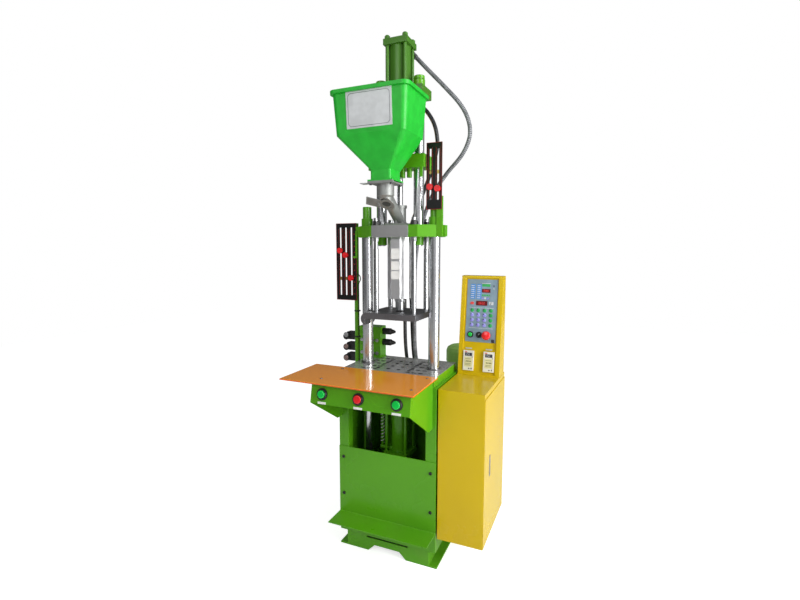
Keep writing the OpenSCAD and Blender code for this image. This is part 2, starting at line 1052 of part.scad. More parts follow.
module columns() {
    color(steel)
        at_origin()
            for (side = [-1, 1])
                translate([side * column_x, 0, 0]) {
                    hole(column_neck_d, cross_z - 34, head_z + 86);
                    hole(column_d, cross_z + cross_t, top_z);
                }
}

module ring(d, bore, z0, z1) {
    difference() {
        hole(d, z0, z1);
        hole(bore + 2 * run_gap, z0 - 1, z1 + 1);
    }
}

module rod_nuts() {
    nut_d = 52;
    color(green)
        at_origin()
            for (side = [-1, 1]) {
                translate([side * column_x, 0, 0]) {
                    ring(nut_d, column_neck_d, head_z, head_z + 34);
                    ring(nut_d, column_neck_d, cross_z - 32, cross_z);
                }
                translate([side * rod_x, 0, 0]) {
                    ring(rod_d, rod_neck_d, top_z - 35, top_z);
                    ring(50, rod_neck_d, cyl_z, cyl_z + 33);
                }
            }
}

module left_striker() {
    x = -top_end - lug_w;
    y = -lug_d / 2;
    t = 6;
    drop = 95;
    color([0.45, 0.48, 0.25])
        at_origin() {
            span([x, y - t, top_z - drop], [x + 8, y, top_z + 30]);
            span([x - 11, y - t, top_z - drop], [x + 8, y, top_z - drop + 10]);
        }
}

module top_plate() {
    color(green)
        at_origin()
            difference() {
                union() {
                    translate([0, 0, top_z])
                        linear_extrude(top_t)
                            plate_plan(top_flat, top_front, top_back, top_end,
                                       top_end_front, top_end_back);
                    for (side = [-1, 1])
                        translate([side * top_end - lug_w, -lug_d / 2, top_z + 2])
                            cube([2 * lug_w, lug_d, top_t - 4]);
                }
                for (side = [-1, 1]) {
                    translate([side * column_x, 0, 0])
                        hole(column_neck_d + 2 * run_gap, top_z - 1, head_z + 1);
                    translate([side * rod_x, 0, 0])
                        hole(rod_neck_d + 2 * run_gap, top_z - 1, head_z + 1);
                    for (y = [hanger_front, hanger_back])
                        translate([side * hanger_x, y, 0])
                            hole(thread_d + 2 * run_gap, top_z - 1, head_z + 1);
                }
                hole(barrel_neck + 2 * run_gap, top_z - 1, head_z + 1);
            }
}

module suspension_rods() {
    nut_d = 27;
    low = platen_z + platen_t;
    color(steel)
        at_origin()
            for (side = [-1, 1], y = [hanger_front, hanger_back])
                translate([side * hanger_x, y, 0]) {
                    hole(socket_d, low - socket_h + 1, low + 1);
                    hole(hanger_d, low, top_z - 52);
                    hole(thread_d, top_z - 53, head_z + 32);
                    translate([0, 0, top_z - 18])
                        cylinder(d = nut_d, h = 18, $fn = 6);
                    translate([0, 0, head_z])
                        cylinder(d = nut_d, h = 18, $fn = 6);
                }
}

module upper_platen() {
    z1 = platen_z + platen_t;
    ear_r = 28;
    ear_out = 8;
    ear_d = 58;
    color(dark_steel)
        at_origin()
            difference() {
                union() {
                    span([-platen_w / 2, -platen_d / 2, platen_z],
                         [platen_w / 2, platen_d / 2, z1]);
                    intersection() {
                        translate([-platen_w / 2 + ear_out, ear_d - platen_d / 2, z1 - ear_r])
                            rotate([90, 0, 0])
                                cylinder(r = ear_r, h = ear_d);
                        span([-platen_w / 2 - ear_r, -platen_d / 2, platen_z - 2 * ear_r],
                             [-platen_w / 2 + 1, platen_d / 2, z1]);
                    }
                }
                hole(nozzle_hole, platen_z - 1, z1 + 1);
                for (side = [-1, 1], y = [hanger_front, hanger_back])
                    translate([side * hanger_x, y, 0])
                        hole(socket_d + 2 * run_gap, z1 - socket_h, z1 + 1);
                for (x = [-60, 60], y = [-60, 60])
                    translate([x, y, 0])
                        hole(10.2, platen_z - 1, platen_z + 20);
            }
}

// ---------------------------------------------------------------- injection unit

module injection_rods() {
    color(steel)
        at_origin()
            for (side = [-1, 1])
                translate([side * rod_x, 0, 0]) {
                    hole(rod_neck_d, top_z - 39, cyl_z + 40);
                    hole(rod_d, head_z, cyl_plate_z);
                    translate([0, 0, cyl_z + 39.5])
                        cylinder(d1 = rod_neck_d, d2 = rod_neck_d - 18, h = 10);
                }
}

module cylinder_plate() {
    color(green)
        at_origin()
            difference() {
                span([-125, -58, cyl_plate_z], [125, 58, cyl_z]);
                for (side = [-1, 1])
                    translate([side * rod_x, 0, 0])
                        hole(rod_neck_d + 2 * run_gap, cyl_plate_z - 1, cyl_z + 1);
                hole(piston_rod_d + 6, cyl_plate_z - 1, cyl_z + 1);
            }
}

module injection_cylinder() {
    half = flange_w / 2;
    z1 = cyl_z + cyl_foot_t + tube_h;
    top = z1 + cyl_flange_t;
    port_l = 14;
    color(green)
        at_origin()
            difference() {
                union() {
                    span([-half, -half, cyl_z], [half, half, cyl_z + cyl_foot_t]);
                    hole(tube_d, cyl_z + 1, z1 + 1);
                    span([-half, -half, z1], [half, half, top]);
                    for (x = [-tie_x, tie_x], y = [-tie_x, tie_x])
                        translate([x, y, 0]) {
                            hole(tie_d, cyl_z + 1, top + 16);
                            translate([0, 0, top])
                                cylinder(d = 26, h = 12, $fn = 6);
                        }
                    for (z = [cyl_z + cyl_foot_t / 2, z1 + cyl_flange_t / 2])
                        translate([port_x, half - 1, z])
                            rotate([-90, 0, 0])
                                cylinder(d = 18, h = port_l + 1);
                }
                hole(cyl_bore, cyl_z + 4, z1);
                hole(piston_rod_d + 2 * run_gap, cyl_z - 1, cyl_z + 5);
            }
}

module ram_crosshead() {
    z1 = ram_z + ram_t;
    color(green)
        at_origin() {
            difference() {
                span([-ram_half, -50, ram_z], [ram_half, 50, z1]);
                for (side = [-1, 1])
                    translate([side * rod_x, 0, 0])
                        hole(rod_d + 2 * run_gap, ram_z - 1, z1 + 1);
            }
            for (x = [24, 55])
                translate([x, -24, ram_z - 38])
                    cylinder(d = 22, h = 39);
            span([ram_half - 18, -50, ram_z - 42], [ram_half - 6, -44, ram_z + 8]);
        }
}

module ram_rods() {
    bore_low = cyl_z + 4;
    bore_high = cyl_z + cyl_foot_t + tube_h;
    piston = min(18, bore_high - bore_low - 2 * ram_travel - 2);
    mid = (bore_low + bore_high) / 2;
    color(steel)
        at_origin() {
            hole(plunger_d, head_z - 20, ram_z);
            hole(plunger_d + 10, ram_z - 12, ram_z);
            hole(piston_rod_d, ram_z + ram_t, mid);
            hole(cyl_bore - 2 * run_gap, mid - piston / 2, mid + piston / 2);
            hole(piston_rod_d + 24, ram_z + ram_t, ram_z + ram_t + 26);
        }
}

// ---------------------------------------------------------------- feed

// The feed branch: a slanted pipe from the upright pipe to the plunger block
module branch(d, over) {
    top = feed_z - 44;
    low = head_z + 22;
    run = -feed_y - 8;
    len = sqrt(run * run + (top - low) * (top - low));
    translate([0, feed_y, top])
        rotate([-90 - atan((top - low) / run), 0, 0])
            translate([0, 0, -over])
                cylinder(d = d, h = len + 2 * over);
}

// The plane of the drain mouth, with Z pointing up and back from it
module on_drain() {
    translate([0, feed_y, drain_z])
        rotate([-drain_tilt, 0, 0])
            children();
}

module feed_casting() {
    head_d = 54;
    head_h = 88;
    foot_x = 52;
    foot_t = 8;
    rail_w = 16;
    pad = 56;
    pad_t = 6;
    color(cast_grey)
        at_origin()
            difference() {
                union() {
                    span([-pad, feed_y - pad, feed_z - pad_t], [pad, feed_y + pad, feed_z]);
                    for (side = [-1, 1])
                        translate([-pad, feed_y + side * (pad - rail_w / 2) - rail_w / 2, feed_z])
                            cube([2 * pad, rail_w, gate_t + 2 * free_gap]);
                    translate([0, feed_y, 0]) {
                        hole(pipe_top_d, feed_z - 52, feed_z - 5);
                        translate([0, 0, feed_z - 60])
                            cylinder(d1 = pipe_low_d, d2 = pipe_top_d, h = 8);
                        hole(pipe_low_d, drain_z, feed_z - 59);
                    }
                    difference() {
                        branch(feed_tube_d, 4);
                        span([-60, feed_y - 60, head_z - 60], [60, 60, head_z]);
                    }
                    hole(head_d, head_z, head_z + head_h);
                    hole(head_d + 8, head_z + head_h - 12, head_z + head_h);
                    span([-foot_x, -foot_x, head_z], [foot_x, foot_x - 10, head_z + foot_t]);
                    span([-4, -foot_x + 6, head_z], [4, 0, head_z + 60]);
                    on_drain()
                        rotate(lid_turn)
                            translate([lid_pivot_x - 9, -11, drain_rise - 3])
                                cube([24, 22, 12]);
                }
                translate([0, feed_y, 0]) {
                    hole(feed_hole, feed_z - 40, feed_z + 1);
                    hole(drain_d, drain_z - 1, feed_z - 39);
                }
                branch(feed_bore, 0);
                hole(plunger_d + 2 * run_gap, head_z - 1, head_z + head_h + 1);
                on_drain()
                    translate([-60, -90, -100])
                        cube([120, 180, 100 + drain_rise]);
                on_drain()
                    rotate(lid_turn)
                        translate([lid_pivot_x, 0, drain_rise - 1])
                            cylinder(d = lid_pin_d + 2 * run_gap, h = 8);
            }
}

module drain_lid() {
    lid_l = 55;
    lid_w = 48;
    lid_t = 4;
    color(cast_grey)
        at_origin()
            on_drain()
                rotate(lid_turn)
                    translate([lid_pivot_x, 0, drain_rise - free_gap - lid_t]) {
                        translate([-lid_l, -lid_w / 2, 0])
                            cube([lid_l + 6, lid_w, lid_t]);
                        cylinder(d = lid_pin_d, h = lid_t + free_gap + 6);
                        translate([0, 0, -5])
                            cylinder(d = 12, h = 6, $fn = 6);
                    }
}

module barrel() {
    bore_end = barrel_low + 60;
    color(steel)
        at_origin()
            difference() {
                union() {
                    hole(barrel_d, barrel_low, top_z);
                    hole(barrel_neck, top_z - 1, head_z);
                    hole(50, barrel_low - 18, barrel_low + 1);
                    hole(42, barrel_low - 62, barrel_low - 17);
                    translate([0, 0, nozzle_tip])
                        cylinder(d1 = 14, d2 = 30, h = barrel_low - 61 - nozzle_tip);
                }
                hole(plunger_d + 2 * run_gap, bore_end, head_z + 1);
                hole(12, barrel_low - 18, bore_end + 1);
                hole(5, nozzle_tip - 1, barrel_low - 17);
            }
}

module heater_bands() {
    step = 76;
    color(cast_grey)
        at_origin()
            for (i = [0 : 2])
                ring(barrel_d + 10, barrel_d, barrel_low + 14 + i * step, barrel_low + 54 + i * step);
}

module octagon_tube(w, t, z0, z1) {
    r = w / 2 / cos(22.5);
    ri = (w / 2 - t) / cos(22.5);
    translate([0, 0, z0])
        rotate(22.5)
            difference() {
                cylinder(r = r, h = z1 - z0, $fn = 8);
                translate([0, 0, -1])
                    cylinder(r = ri, h = z1 - z0 + 2, $fn = 8);
            }
}

module barrel_guard() {
    color([0.86, 0.86, 0.87])
        at_origin()
            octagon_tube(guard_w, guard_t, guard_low, top_z);
}

// A thin rounded rectangle, centred on y
module slab(w, d, y, z, h, r) {
    translate([0, y, z])
        linear_extrude(h)
            union() {
                square([w - 2 * r, d], center = true);
                square([w, d - 2 * r], center = true);
                for (i = [-1, 1], j = [-1, 1])
                    translate([i * (w / 2 - r), j * (d / 2 - r)])
                        circle(r, $fn = 24);
            }
}

module hopper_form(t) {
    top = hopper_z + neck_h + hopper_taper_h + hopper_body_h;
    body_w = hopper_w - 2 * rim_out - 2 * t;
    body_d = hopper_d - 2 * rim_out - 2 * t;
    shoulder = 22;
    lift = t > 0 ? 1 : 0;
    hull() {
        translate([hopper_x, 0, 0])
            slab(body_w, body_d, hopper_y, top - 1 + lift, 1, 24 - t);
        translate([hopper_x, 0, 0])
            slab(body_w - shoulder, body_d - shoulder, hopper_y, top - hopper_body_h, 1, 22 - t);
    }
    hull() {
        translate([hopper_x, 0, 0])
            slab(body_w - shoulder, body_d - shoulder, hopper_y, top - hopper_body_h, 1, 22 - t);
        slab(neck_w - 2 * t, neck_d - 2 * t, neck_y, hopper_z + neck_h, 1, 10 - t);
    }
    slab(neck_w - 2 * t, neck_d - 2 * t, neck_y, hopper_z + 5, neck_h - 4, 10 - t);
}

module hopper() {
    top = hopper_z + neck_h + hopper_taper_h + hopper_body_h;
    color([0.15, 0.75, 0.25])
        at_origin()
            difference() {
                union() {
                    hopper_form(0);
                    translate([hopper_x, 0, 0])
                        slab(hopper_w, hopper_d, hopper_y, top - rim_h, rim_h, 30);
                    span([-56, feed_y - 56, hopper_z], [56, feed_y + 56, hopper_z + 5.5]);
                }
                hopper_form(hopper_wall);
                translate([0, feed_y, 0])
                    hole(feed_hole, hopper_z - 1, hopper_z + 7);
            }
}

module hopper_gate() {
    blade_w = 78;
    color(dark_steel)
        at_origin() {
            span([-62, feed_y - blade_w / 2, gate_z], [44, feed_y + blade_w / 2, gate_z + gate_t]);
            span([-112, feed_y - 18, gate_z], [-61, feed_y + 18, gate_z + gate_t]);
        }
}

// ---------------------------------------------------------------- hoses

function unit(v) = v / norm(v);

function tangent(p, i) =
    unit(p[min(i + 1, len(p) - 1)] - p[max(i - 1, 0)]);

// Sideways direction of a ring, kept level where the hose is not upright
function side_of(t) =
    norm(cross(t, [0, 1, 0])) > 0.2 ? unit(cross(t, [0, 1, 0])) : unit(cross(t, [1, 0, 0]));

function catmull(a, b, c, d, t) =
    0.5 * (2 * b + (c - a) * t + (2 * a - 5 * b + 4 * c - d) * t * t
        + (3 * b - 3 * c + d - a) * t * t * t);

// The points with `n` steps between each pair, on a smooth curve through them
function smooth(p, n) = concat([
    for (i = [0 : len(p) - 2], k = [0 : n - 1])
        catmull(p[max(i - 1, 0)], p[i], p[i + 1], p[min(i + 2, len(p) - 1)], k / n)
], [p[len(p) - 1]]);

module tube_along(path, d, sides) {
    rings = len(path);
    verts = [
        for (i = [0 : rings - 1])
            let (t = tangent(path, i), u = side_of(t), w = cross(t, u))
                for (k = [0 : sides - 1])
                    path[i] + d / 2 * (cos(k * 360 / sides) * u + sin(k * 360 / sides) * w)
    ];
    walls = [
        for (i = [0 : rings - 2], k = [0 : sides - 1])
            [i * sides + k, i * sides + (k + 1) % sides,
             (i + 1) * sides + (k + 1) % sides, (i + 1) * sides + k]
    ];
    first = [[for (k = [0 : sides - 1]) sides - 1 - k]];
    last = [[for (k = [0 : sides - 1]) (rings - 1) * sides + k]];
    polyhedron(verts, concat(walls, first, last));
}

// Hose from the cap end of the injection cylinder, down the back to the tank
module hose_upper() {
    color(black)
        at_origin()
            tube_along(smooth(upper_hose, 2), hose_d, 10);
}

// Hose from the rod end of the injection cylinder
module hose_lower() {
    color(black)
        at_origin()
            tube_along(smooth(lower_hose, 1), hose_d, 10);
}

// Elbow on a port of the injection cylinder, with the hose's crimped ferrule
module elbow(z) {
    elbow_a = 137;
    ferrule = 40;
    face = flange_w / 2 + 14;
    translate([port_x, face, z])
        rotate([-90, 0, 0])
            cylinder(d = 26, h = 12, $fn = 6);
    translate([port_x, face + 11, z])
        rotate([-90, 0, 0])
            cylinder(d = 22, h = 2 * (elbow_y - face) - 11);
    translate([port_x, elbow_y, z])
        rotate([0, elbow_a, 0])
            cylinder(d = 22, h = ferrule);
}

// Elbows of both hoses and the gland of the heater conduit
module hose_fittings() {
    color(steel)
        at_origin() {
            elbow(cyl_z + cyl_foot_t + tube_h + cyl_flange_t / 2);
            elbow(cyl_z + cyl_foot_t / 2);
            translate([gland_x, top_back, head_z - 26])
                rotate([-90, 0, 0])
                    cylinder(d = 26, h = 8, $fn = 6);
            translate([gland_x, top_back + 7, head_z - 26])
                rotate([-90, 0, 0])
                    cylinder(d = 22, h = 13.7);
        }
}

// Conduit with the heater and thermocouple leads
module heater_cable() {
    color(black)
        at_origin()
            tube_along(smooth(heater_lead, 1), lead_d, 10);
}

base_frame();
front_cover();
bed_plate();
column_bushes();
work_table();
button_bracket();
button_bezels();
start_button_left();
stop_button();
start_button_right();
clamp_cylinder();
clamp_rod();
lower_crosshead();
oil_tank();
pump_motor();
control_cabinet();
cabinet_door();
door_handle();
door_lever();
console_housing();
control_panel();
temperature_controllers();
console_bezels();
console_button();
selector_knob();
emergency_stop();
manifold();
solenoid_valves();
pressure_gauge();
left_scale();
left_scale_post();
left_striker();
right_scale();
right_scale_post();
left_knob_a();
left_knob_b();
left_knob_c();
right_knob_a();
right_knob_b();
columns();
rod_nuts();
top_plate();
suspension_rods();
upper_platen();
injection_rods();
cylinder_plate();
injection_cylinder();
ram_crosshead();
ram_rods();
feed_casting();
drain_lid();
barrel();
heater_bands();
barrel_guard();
hopper();
hopper_gate();
hose_fittings();
hose_upper();
hose_lower();
heater_cable();
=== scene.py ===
import json
import math

import bmesh
import bpy
import numpy as np
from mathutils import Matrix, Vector
from mathutils.bvhtree import BVHTree

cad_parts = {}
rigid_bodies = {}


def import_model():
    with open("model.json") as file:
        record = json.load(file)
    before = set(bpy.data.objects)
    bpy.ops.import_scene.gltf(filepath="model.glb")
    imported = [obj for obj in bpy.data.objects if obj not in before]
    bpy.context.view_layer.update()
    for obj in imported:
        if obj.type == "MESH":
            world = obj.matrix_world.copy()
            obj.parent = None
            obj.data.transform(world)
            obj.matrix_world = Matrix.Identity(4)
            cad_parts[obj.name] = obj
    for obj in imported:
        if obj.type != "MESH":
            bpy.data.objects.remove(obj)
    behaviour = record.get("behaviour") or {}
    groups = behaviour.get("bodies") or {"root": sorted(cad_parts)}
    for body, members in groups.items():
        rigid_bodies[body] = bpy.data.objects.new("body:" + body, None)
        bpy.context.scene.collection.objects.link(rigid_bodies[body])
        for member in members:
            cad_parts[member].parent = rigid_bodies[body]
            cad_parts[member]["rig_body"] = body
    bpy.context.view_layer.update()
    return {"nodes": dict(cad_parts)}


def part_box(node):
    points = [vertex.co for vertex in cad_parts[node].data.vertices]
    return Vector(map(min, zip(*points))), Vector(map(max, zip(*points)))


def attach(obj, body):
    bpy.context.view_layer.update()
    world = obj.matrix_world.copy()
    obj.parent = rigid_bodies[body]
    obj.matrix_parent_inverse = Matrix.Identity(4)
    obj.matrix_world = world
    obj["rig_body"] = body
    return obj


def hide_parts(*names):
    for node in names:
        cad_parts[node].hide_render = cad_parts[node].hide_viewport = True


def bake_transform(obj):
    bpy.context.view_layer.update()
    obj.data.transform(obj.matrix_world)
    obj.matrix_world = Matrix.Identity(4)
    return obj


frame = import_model()
nodes = frame["nodes"]
scene = bpy.context.scene

# ---- Camera ----
# Stands two metres in front of the machine, to its right and half a metre above the
# work table, and looks a little down.
camera = bpy.data.objects.new("camera", bpy.data.cameras.new("camera"))
camera.data.lens = 21.035
camera.data.sensor_width = 36
pitch_down, turn_left = 6.22, 23.51
camera.location = (0.8053, -1.949, 1.3794)
camera.rotation_euler = (math.radians(90 - pitch_down), 0, math.radians(turn_left))
scene.collection.objects.link(camera)
scene.camera = camera


# ---- Hoses and conduit ----
# A wire-braided and a plain rubber oil hose run from the injection cylinder's elbows,
# in a bow past its right side and down behind the machine, to couplings on the tank.
# A ribbed plastic conduit brings the heater leads down beside them.


class Value:
    """A number, colour or vector in a node tree; arithmetic on it adds Math nodes."""

    def __init__(self, nodes_of, socket):
        self.nodes_of = nodes_of
        self.socket = socket

    def math(self, operation, other=None, swap=False):
        pair = [self] if other is None else [other, self] if swap else [self, other]
        return self.nodes_of.add("Math", {"operation": operation}, dict(enumerate(pair)))

    def __add__(self, other):
        return self.math("ADD", other)

    def __sub__(self, other):
        return self.math("SUBTRACT", other)

    def __rsub__(self, other):
        return self.math("SUBTRACT", other, swap=True)

    def __mul__(self, other):
        return self.math("MULTIPLY", other)

    __radd__ = __add__
    __rmul__ = __mul__

    def ramp(self, low, high, dim=0, bright=1):
        """Dim below low, bright above high, and a smooth step between them."""
        settings = {"interpolation_type": "SMOOTHSTEP"}
        inputs = {0: self, 1: low, 2: high, 3: dim, 4: bright}
        return self.nodes_of.add("MapRange", settings, inputs)


class Nodes:
    """A node tree, and the one way a node is added to it."""

    def __init__(self, tree):
        self.tree = tree

    def feed(self, socket, value):
        """Link a worked-out value to a socket, or set a plain one on it."""
        if isinstance(value, Value):
            self.tree.links.new(value.socket, socket)
        else:
            socket.default_value = value

    def add(self, kind, settings, inputs, out=0):
        """A node of a kind, with its settings and the values or links of its sockets."""
        node = self.tree.nodes.new("ShaderNode" + kind)
        for key, value in settings.items():
            setattr(node, key, value)
        for key, value in inputs.items():
            self.feed(node.inputs[key], value)
        return Value(self, node.outputs[out])


class Finish(Nodes):
    """A paint, metal or moulding: a material, what its surface is worked out from, and
    the name of a slot, which is kept but not used."""

    def __init__(self, name, slot="", **shader):
        self.slot = slot
        self.material = bpy.data.materials.new(name)
        self.material.use_nodes = True
        super().__init__(self.material.node_tree)
        self.shader = self.tree.nodes["Principled BSDF"]
        self.put(**shader)

    def put(self, **shader):
        """Feed the shader's sockets, by their names in small letters."""
        sockets = {socket.name.lower().replace(" ", "_"): socket for socket in self.shader.inputs}
        for name, value in shader.items():
            self.feed(sockets[name], value)

    def place(self):
        return self.add("TexCoord", {}, {}, "Object")

    def uv(self):
        return self.add("TexCoord", {}, {}, "UV")

    def axis(self, vector, name):
        return self.add("SeparateXYZ", {}, {0: vector}, name)

    def stretch(self, vector, scale):
        return self.add("VectorMath", {"operation": "MULTIPLY"}, {0: vector, 1: scale})

    def noise(self, scale, detail=2, vector=None):
        inputs = {"Scale": scale, "Detail": detail, "Vector": vector or self.place()}
        return self.add("TexNoise", {}, inputs)

    def mix(self, share, first, second):
        settings = {"data_type": "RGBA"}
        return self.add("Mix", settings, {0: share, 6: first, 7: second}, 2)

    def bump(self, height, depth, strength):
        inputs = {"Height": height, "Distance": depth, "Strength": strength}
        self.put(normal=self.add("Bump", {}, inputs))


def paint(red, green, blue):
    """A colour as a paint shop reads it, 0 to 255 a channel, made linear."""
    parts = [c / 255 for c in (red, green, blue)]
    return (*(c / 12.92 if c < 0.04045 else ((c + 0.055) / 1.055) ** 2.4 for c in parts), 1)


box_middle = np.array([40.5, 5, 0])


def spot(x, y, z):
    """Millimetres from the head's middle lines and the floor to the frame's metres,
    which are counted from the middle of the whole machine's box."""
    return (np.array([x, y, z]) - box_middle) / 1000


def quads(rows, columns):
    """Face indices of a grid of rows by columns, each row joined round into a ring."""
    i, j = np.meshgrid(np.arange(rows - 1), np.arange(columns), indexing="ij")
    k = (j + 1) % columns
    corners = [i * columns + j, i * columns + k, (i + 1) * columns + k, (i + 1) * columns + j]
    return np.stack(corners, -1).reshape(-1, 4)


def grid(points):
    """A tube through a grid of points; its first and last rings become flat ends."""
    rows, columns = points.shape[:2]
    faces = quads(rows, columns).tolist()
    faces += [[*range(columns)][::-1], [*range((rows - 1) * columns, rows * columns)]]
    return points.reshape(-1, 3), faces


def make(name, parts, finish, body="base"):
    """One piece from several surfaces in its finish's material, riding on a body, or on
    none where the body is None."""
    corners, faces, start = [], [], 0
    for points, part in parts:
        corners.append(points)
        faces += [[start + k for k in face] for face in part]
        start += len(points)
    mesh = bpy.data.meshes.new(name)
    mesh.from_pydata(np.concatenate(corners).tolist(), [], faces)
    skin = bmesh.new()
    skin.from_mesh(mesh)
    bmesh.ops.recalc_face_normals(skin, faces=skin.faces)
    skin.to_mesh(mesh)
    skin.free()
    mesh.set_sharp_from_angle(angle=math.radians(28))
    for face in mesh.polygons:
        face.use_smooth = face.loop_total == 4
    mesh.materials.append(finish.material)
    piece = bpy.data.objects.new(name, mesh)
    scene.collection.objects.link(piece)
    if body:
        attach(piece, body)
    return piece


def curve_through(points, steps):
    """Points on a Catmull-Rom curve: each span is a cubic whose slopes are half the
    step between the points on either side."""
    p = np.concatenate([points[:1], points, points[-1:]])
    a, b, c, d = (p[k : len(p) - 3 + k, None] for k in range(4))
    t = (np.arange(steps) / steps)[None, :, None]
    line = 0.5 * (
        2 * b + (c - a) * t + (2 * a - 5 * b + 4 * c - d) * t**2 + (3 * b - 3 * c + d - a) * t**3
    )
    return np.concatenate([line.reshape(-1, 3), points[-1:]])


def along(line, radius, sides):
    """A ring round each point of a line, square to the line: radius times the cosine
    of one sideways direction and the sine of the other."""
    ahead = np.gradient(line, axis=0)
    ahead /= np.linalg.norm(ahead, axis=1, keepdims=True)
    level = np.cross(ahead, [0, 1, 0])
    weak = np.linalg.norm(level, axis=1, keepdims=True) < 0.3
    level = np.where(weak, np.cross(ahead, [1, 0, 0]), level)
    level /= np.linalg.norm(level, axis=1, keepdims=True)
    other = np.cross(level, ahead)
    turn = (np.arange(sides) * 2 * math.pi / sides)[None, :, None]
    return line[:, None] + radius * (np.cos(turn) * level[:, None] + np.sin(turn) * other[:, None])


def strides(line):
    """The distance from each point of a line to the next."""
    return np.linalg.norm(np.diff(line, axis=0), axis=1)


def wrap_uv(piece, line, sides):
    """UV of a tube: the length along the line in metres, and the share of a turn.
    Faces that close the turn count its first side as one turn further on."""
    length = np.concatenate([[0], np.cumsum(strides(line))])
    layer = piece.data.uv_layers.new(name="along").data
    for face in piece.data.polygons:
        corners = [divmod(k, sides) for k in face.vertices]
        closing = len(corners) == 4 and {0, sides - 1} <= {side for _, side in corners}
        for k, (row, side) in zip(face.loop_indices, corners):
            layer[k].uv = length[row], (side + sides * (closing and side == 0)) / sides


def braid(name, slot, dark, light, shine, layline=None):
    """Hose cover of two sets of diagonal strands, the product of two sines; the strands'
    crowns are painted lighter as a painted highlight and the gaps between them darker as
    painted shade, with a printed line along it where a layline's colour is given."""
    strands_along, strands_round = 420, 75.4
    finish = Finish(name, slot, roughness=shine, coat_weight=0)
    long, turn = finish.axis(finish.uv(), "X"), finish.axis(finish.uv(), "Y")
    one = (long * strands_along + turn * strands_round).math("SINE")
    two = (long * strands_along - turn * strands_round).math("SINE")
    weave_relief_and_shade = (one * two * 0.5 + 0.5).ramp(0.2, 0.9)
    worn = finish.noise(30, 3).ramp(0.35, 0.75)
    # the weave paints the strands' crowns light and the gaps dark: painted highlight and painted
    # shade
    cover = finish.mix(weave_relief_and_shade * (worn * 0.5 + 0.5), dark, light)
    if layline:
        stripe = (turn * (4 * math.pi)).math("SINE").ramp(0.93, 0.96)
        cover = finish.mix(stripe, cover, layline)
    finish.put(base_color=cover)
    finish.bump(weave_relief_and_shade, depth=0.0006, strength=0.6)
    return finish


hose_points = {
    "hose_upper": (
        (43, 82, 2224), (71, 82, 2194), (99, 82, 2164), (178, 82, 2081), (244, 82, 2006),
        (280, 82, 1944), (293, 82, 1886), (284, 84, 1836), (250, 90, 1780), (178, 106, 1710),
        (104, 130, 1620), (46, 150, 1490), (12, 164, 1340), (2, 174, 1180), (0, 180, 1040),
        (0, 186, 920), (0, 206, 830), (0, 236, 770), (0, 260, 725), (0, 270, 690), (0, 270, 643),
    ),
    "hose_lower": (
        (43, 82, 2042), (71, 82, 2012), (99, 82, 1982), (126, 82, 1938), (141, 84, 1886),
        (140, 92, 1826), (104, 116, 1730), (40, 142, 1600), (-20, 158, 1460), (-46, 170, 1320),
        (-52, 178, 1160), (-52, 182, 1040), (-52, 188, 920), (-52, 208, 830), (-52, 238, 770),
        (-52, 262, 725), (-52, 270, 690), (-52, 270, 643),
    ),
    "heater_cable": (
        (-62, 137, 1458), (-62, 150, 1458), (-62, 177, 1453), (-61, 200, 1437),
        (-59, 215, 1414), (-56, 221, 1386), (-48, 223, 1300), (-40, 222, 1180),
        (-34, 222, 1060), (-30, 224, 940), (-28, 234, 850), (-26, 256, 780),
        (-26, 282, 725), (-26, 292, 690), (-26, 292, 643),
    ),
}
rib_waves = 1600
braided = braid("braided_hose", "hose_rubber", paint(66, 68, 72), paint(176, 178, 182), shine=0.32)
plain_hose = braid(
    "rubber_hose", "hose_rubber", paint(26, 26, 28), paint(60, 61, 64), shine=0.3,
    layline=paint(206, 158, 52),
)
conduit = Finish("ribbed_conduit", "cable_jacket", roughness=0.4, base_color=paint(24, 24, 25))
conduit_ribs = (conduit.axis(conduit.uv(), "X") * rib_waves).math("SINE")
conduit.bump(conduit_ribs, depth=0.0008, strength=0.9)
hose_sides, hose_steps = 20, 8
for name, finish, diameter in (
    ("hose_upper", braided, 0.018),
    ("hose_lower", plain_hose, 0.018),
    ("heater_cable", conduit, 0.014),
):
    knots = np.array([spot(*p) for p in hose_points[name]])
    line = curve_through(knots, hose_steps)
    hose = make(name + "_tube", [grid(along(line, diameter / 2, hose_sides))], finish, None)
    wrap_uv(hose, line, hose_sides)
    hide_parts(name)
    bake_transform(hose)

# ---- Limit switch cable ----
# A thin black cable leaves the back of the left scale, makes a small loop and runs
# down the scale's post, tied to it, into the frame.
post_cable_points = (
    (-240, 3, 1264), (-228, 3, 1264), (-217, 3, 1261), (-209, 4, 1253), (-206, 6, 1242),
    (-210, 9, 1231), (-217, 12, 1221),
    *((-220.5, 14, z) for z in (1206, 1160, 1083, 1020, 958, 900, 850, 806)),
)
post_cable_d = 0.0046
black_jacket = Finish("cable_jacket", "cable_jacket", base_color=paint(16, 16, 17))
black_jacket.put(roughness=black_jacket.noise(300) * 0.2 + 0.4)
line = curve_through(np.array([spot(*p) for p in post_cable_points]), steps=6)
post_cable = make("post_cable", [grid(along(line, post_cable_d / 2, sides=12))], black_jacket)

# ---- Base frame and front cover ----
# The base is welded of steel plate, posts, sides and top on a slotted plinth with floor
# flanges, and sprayed gloss green. A folded sheet cover, whose lower edge turns out into
# a foot shelf, closes its front with four blackened cap screws.


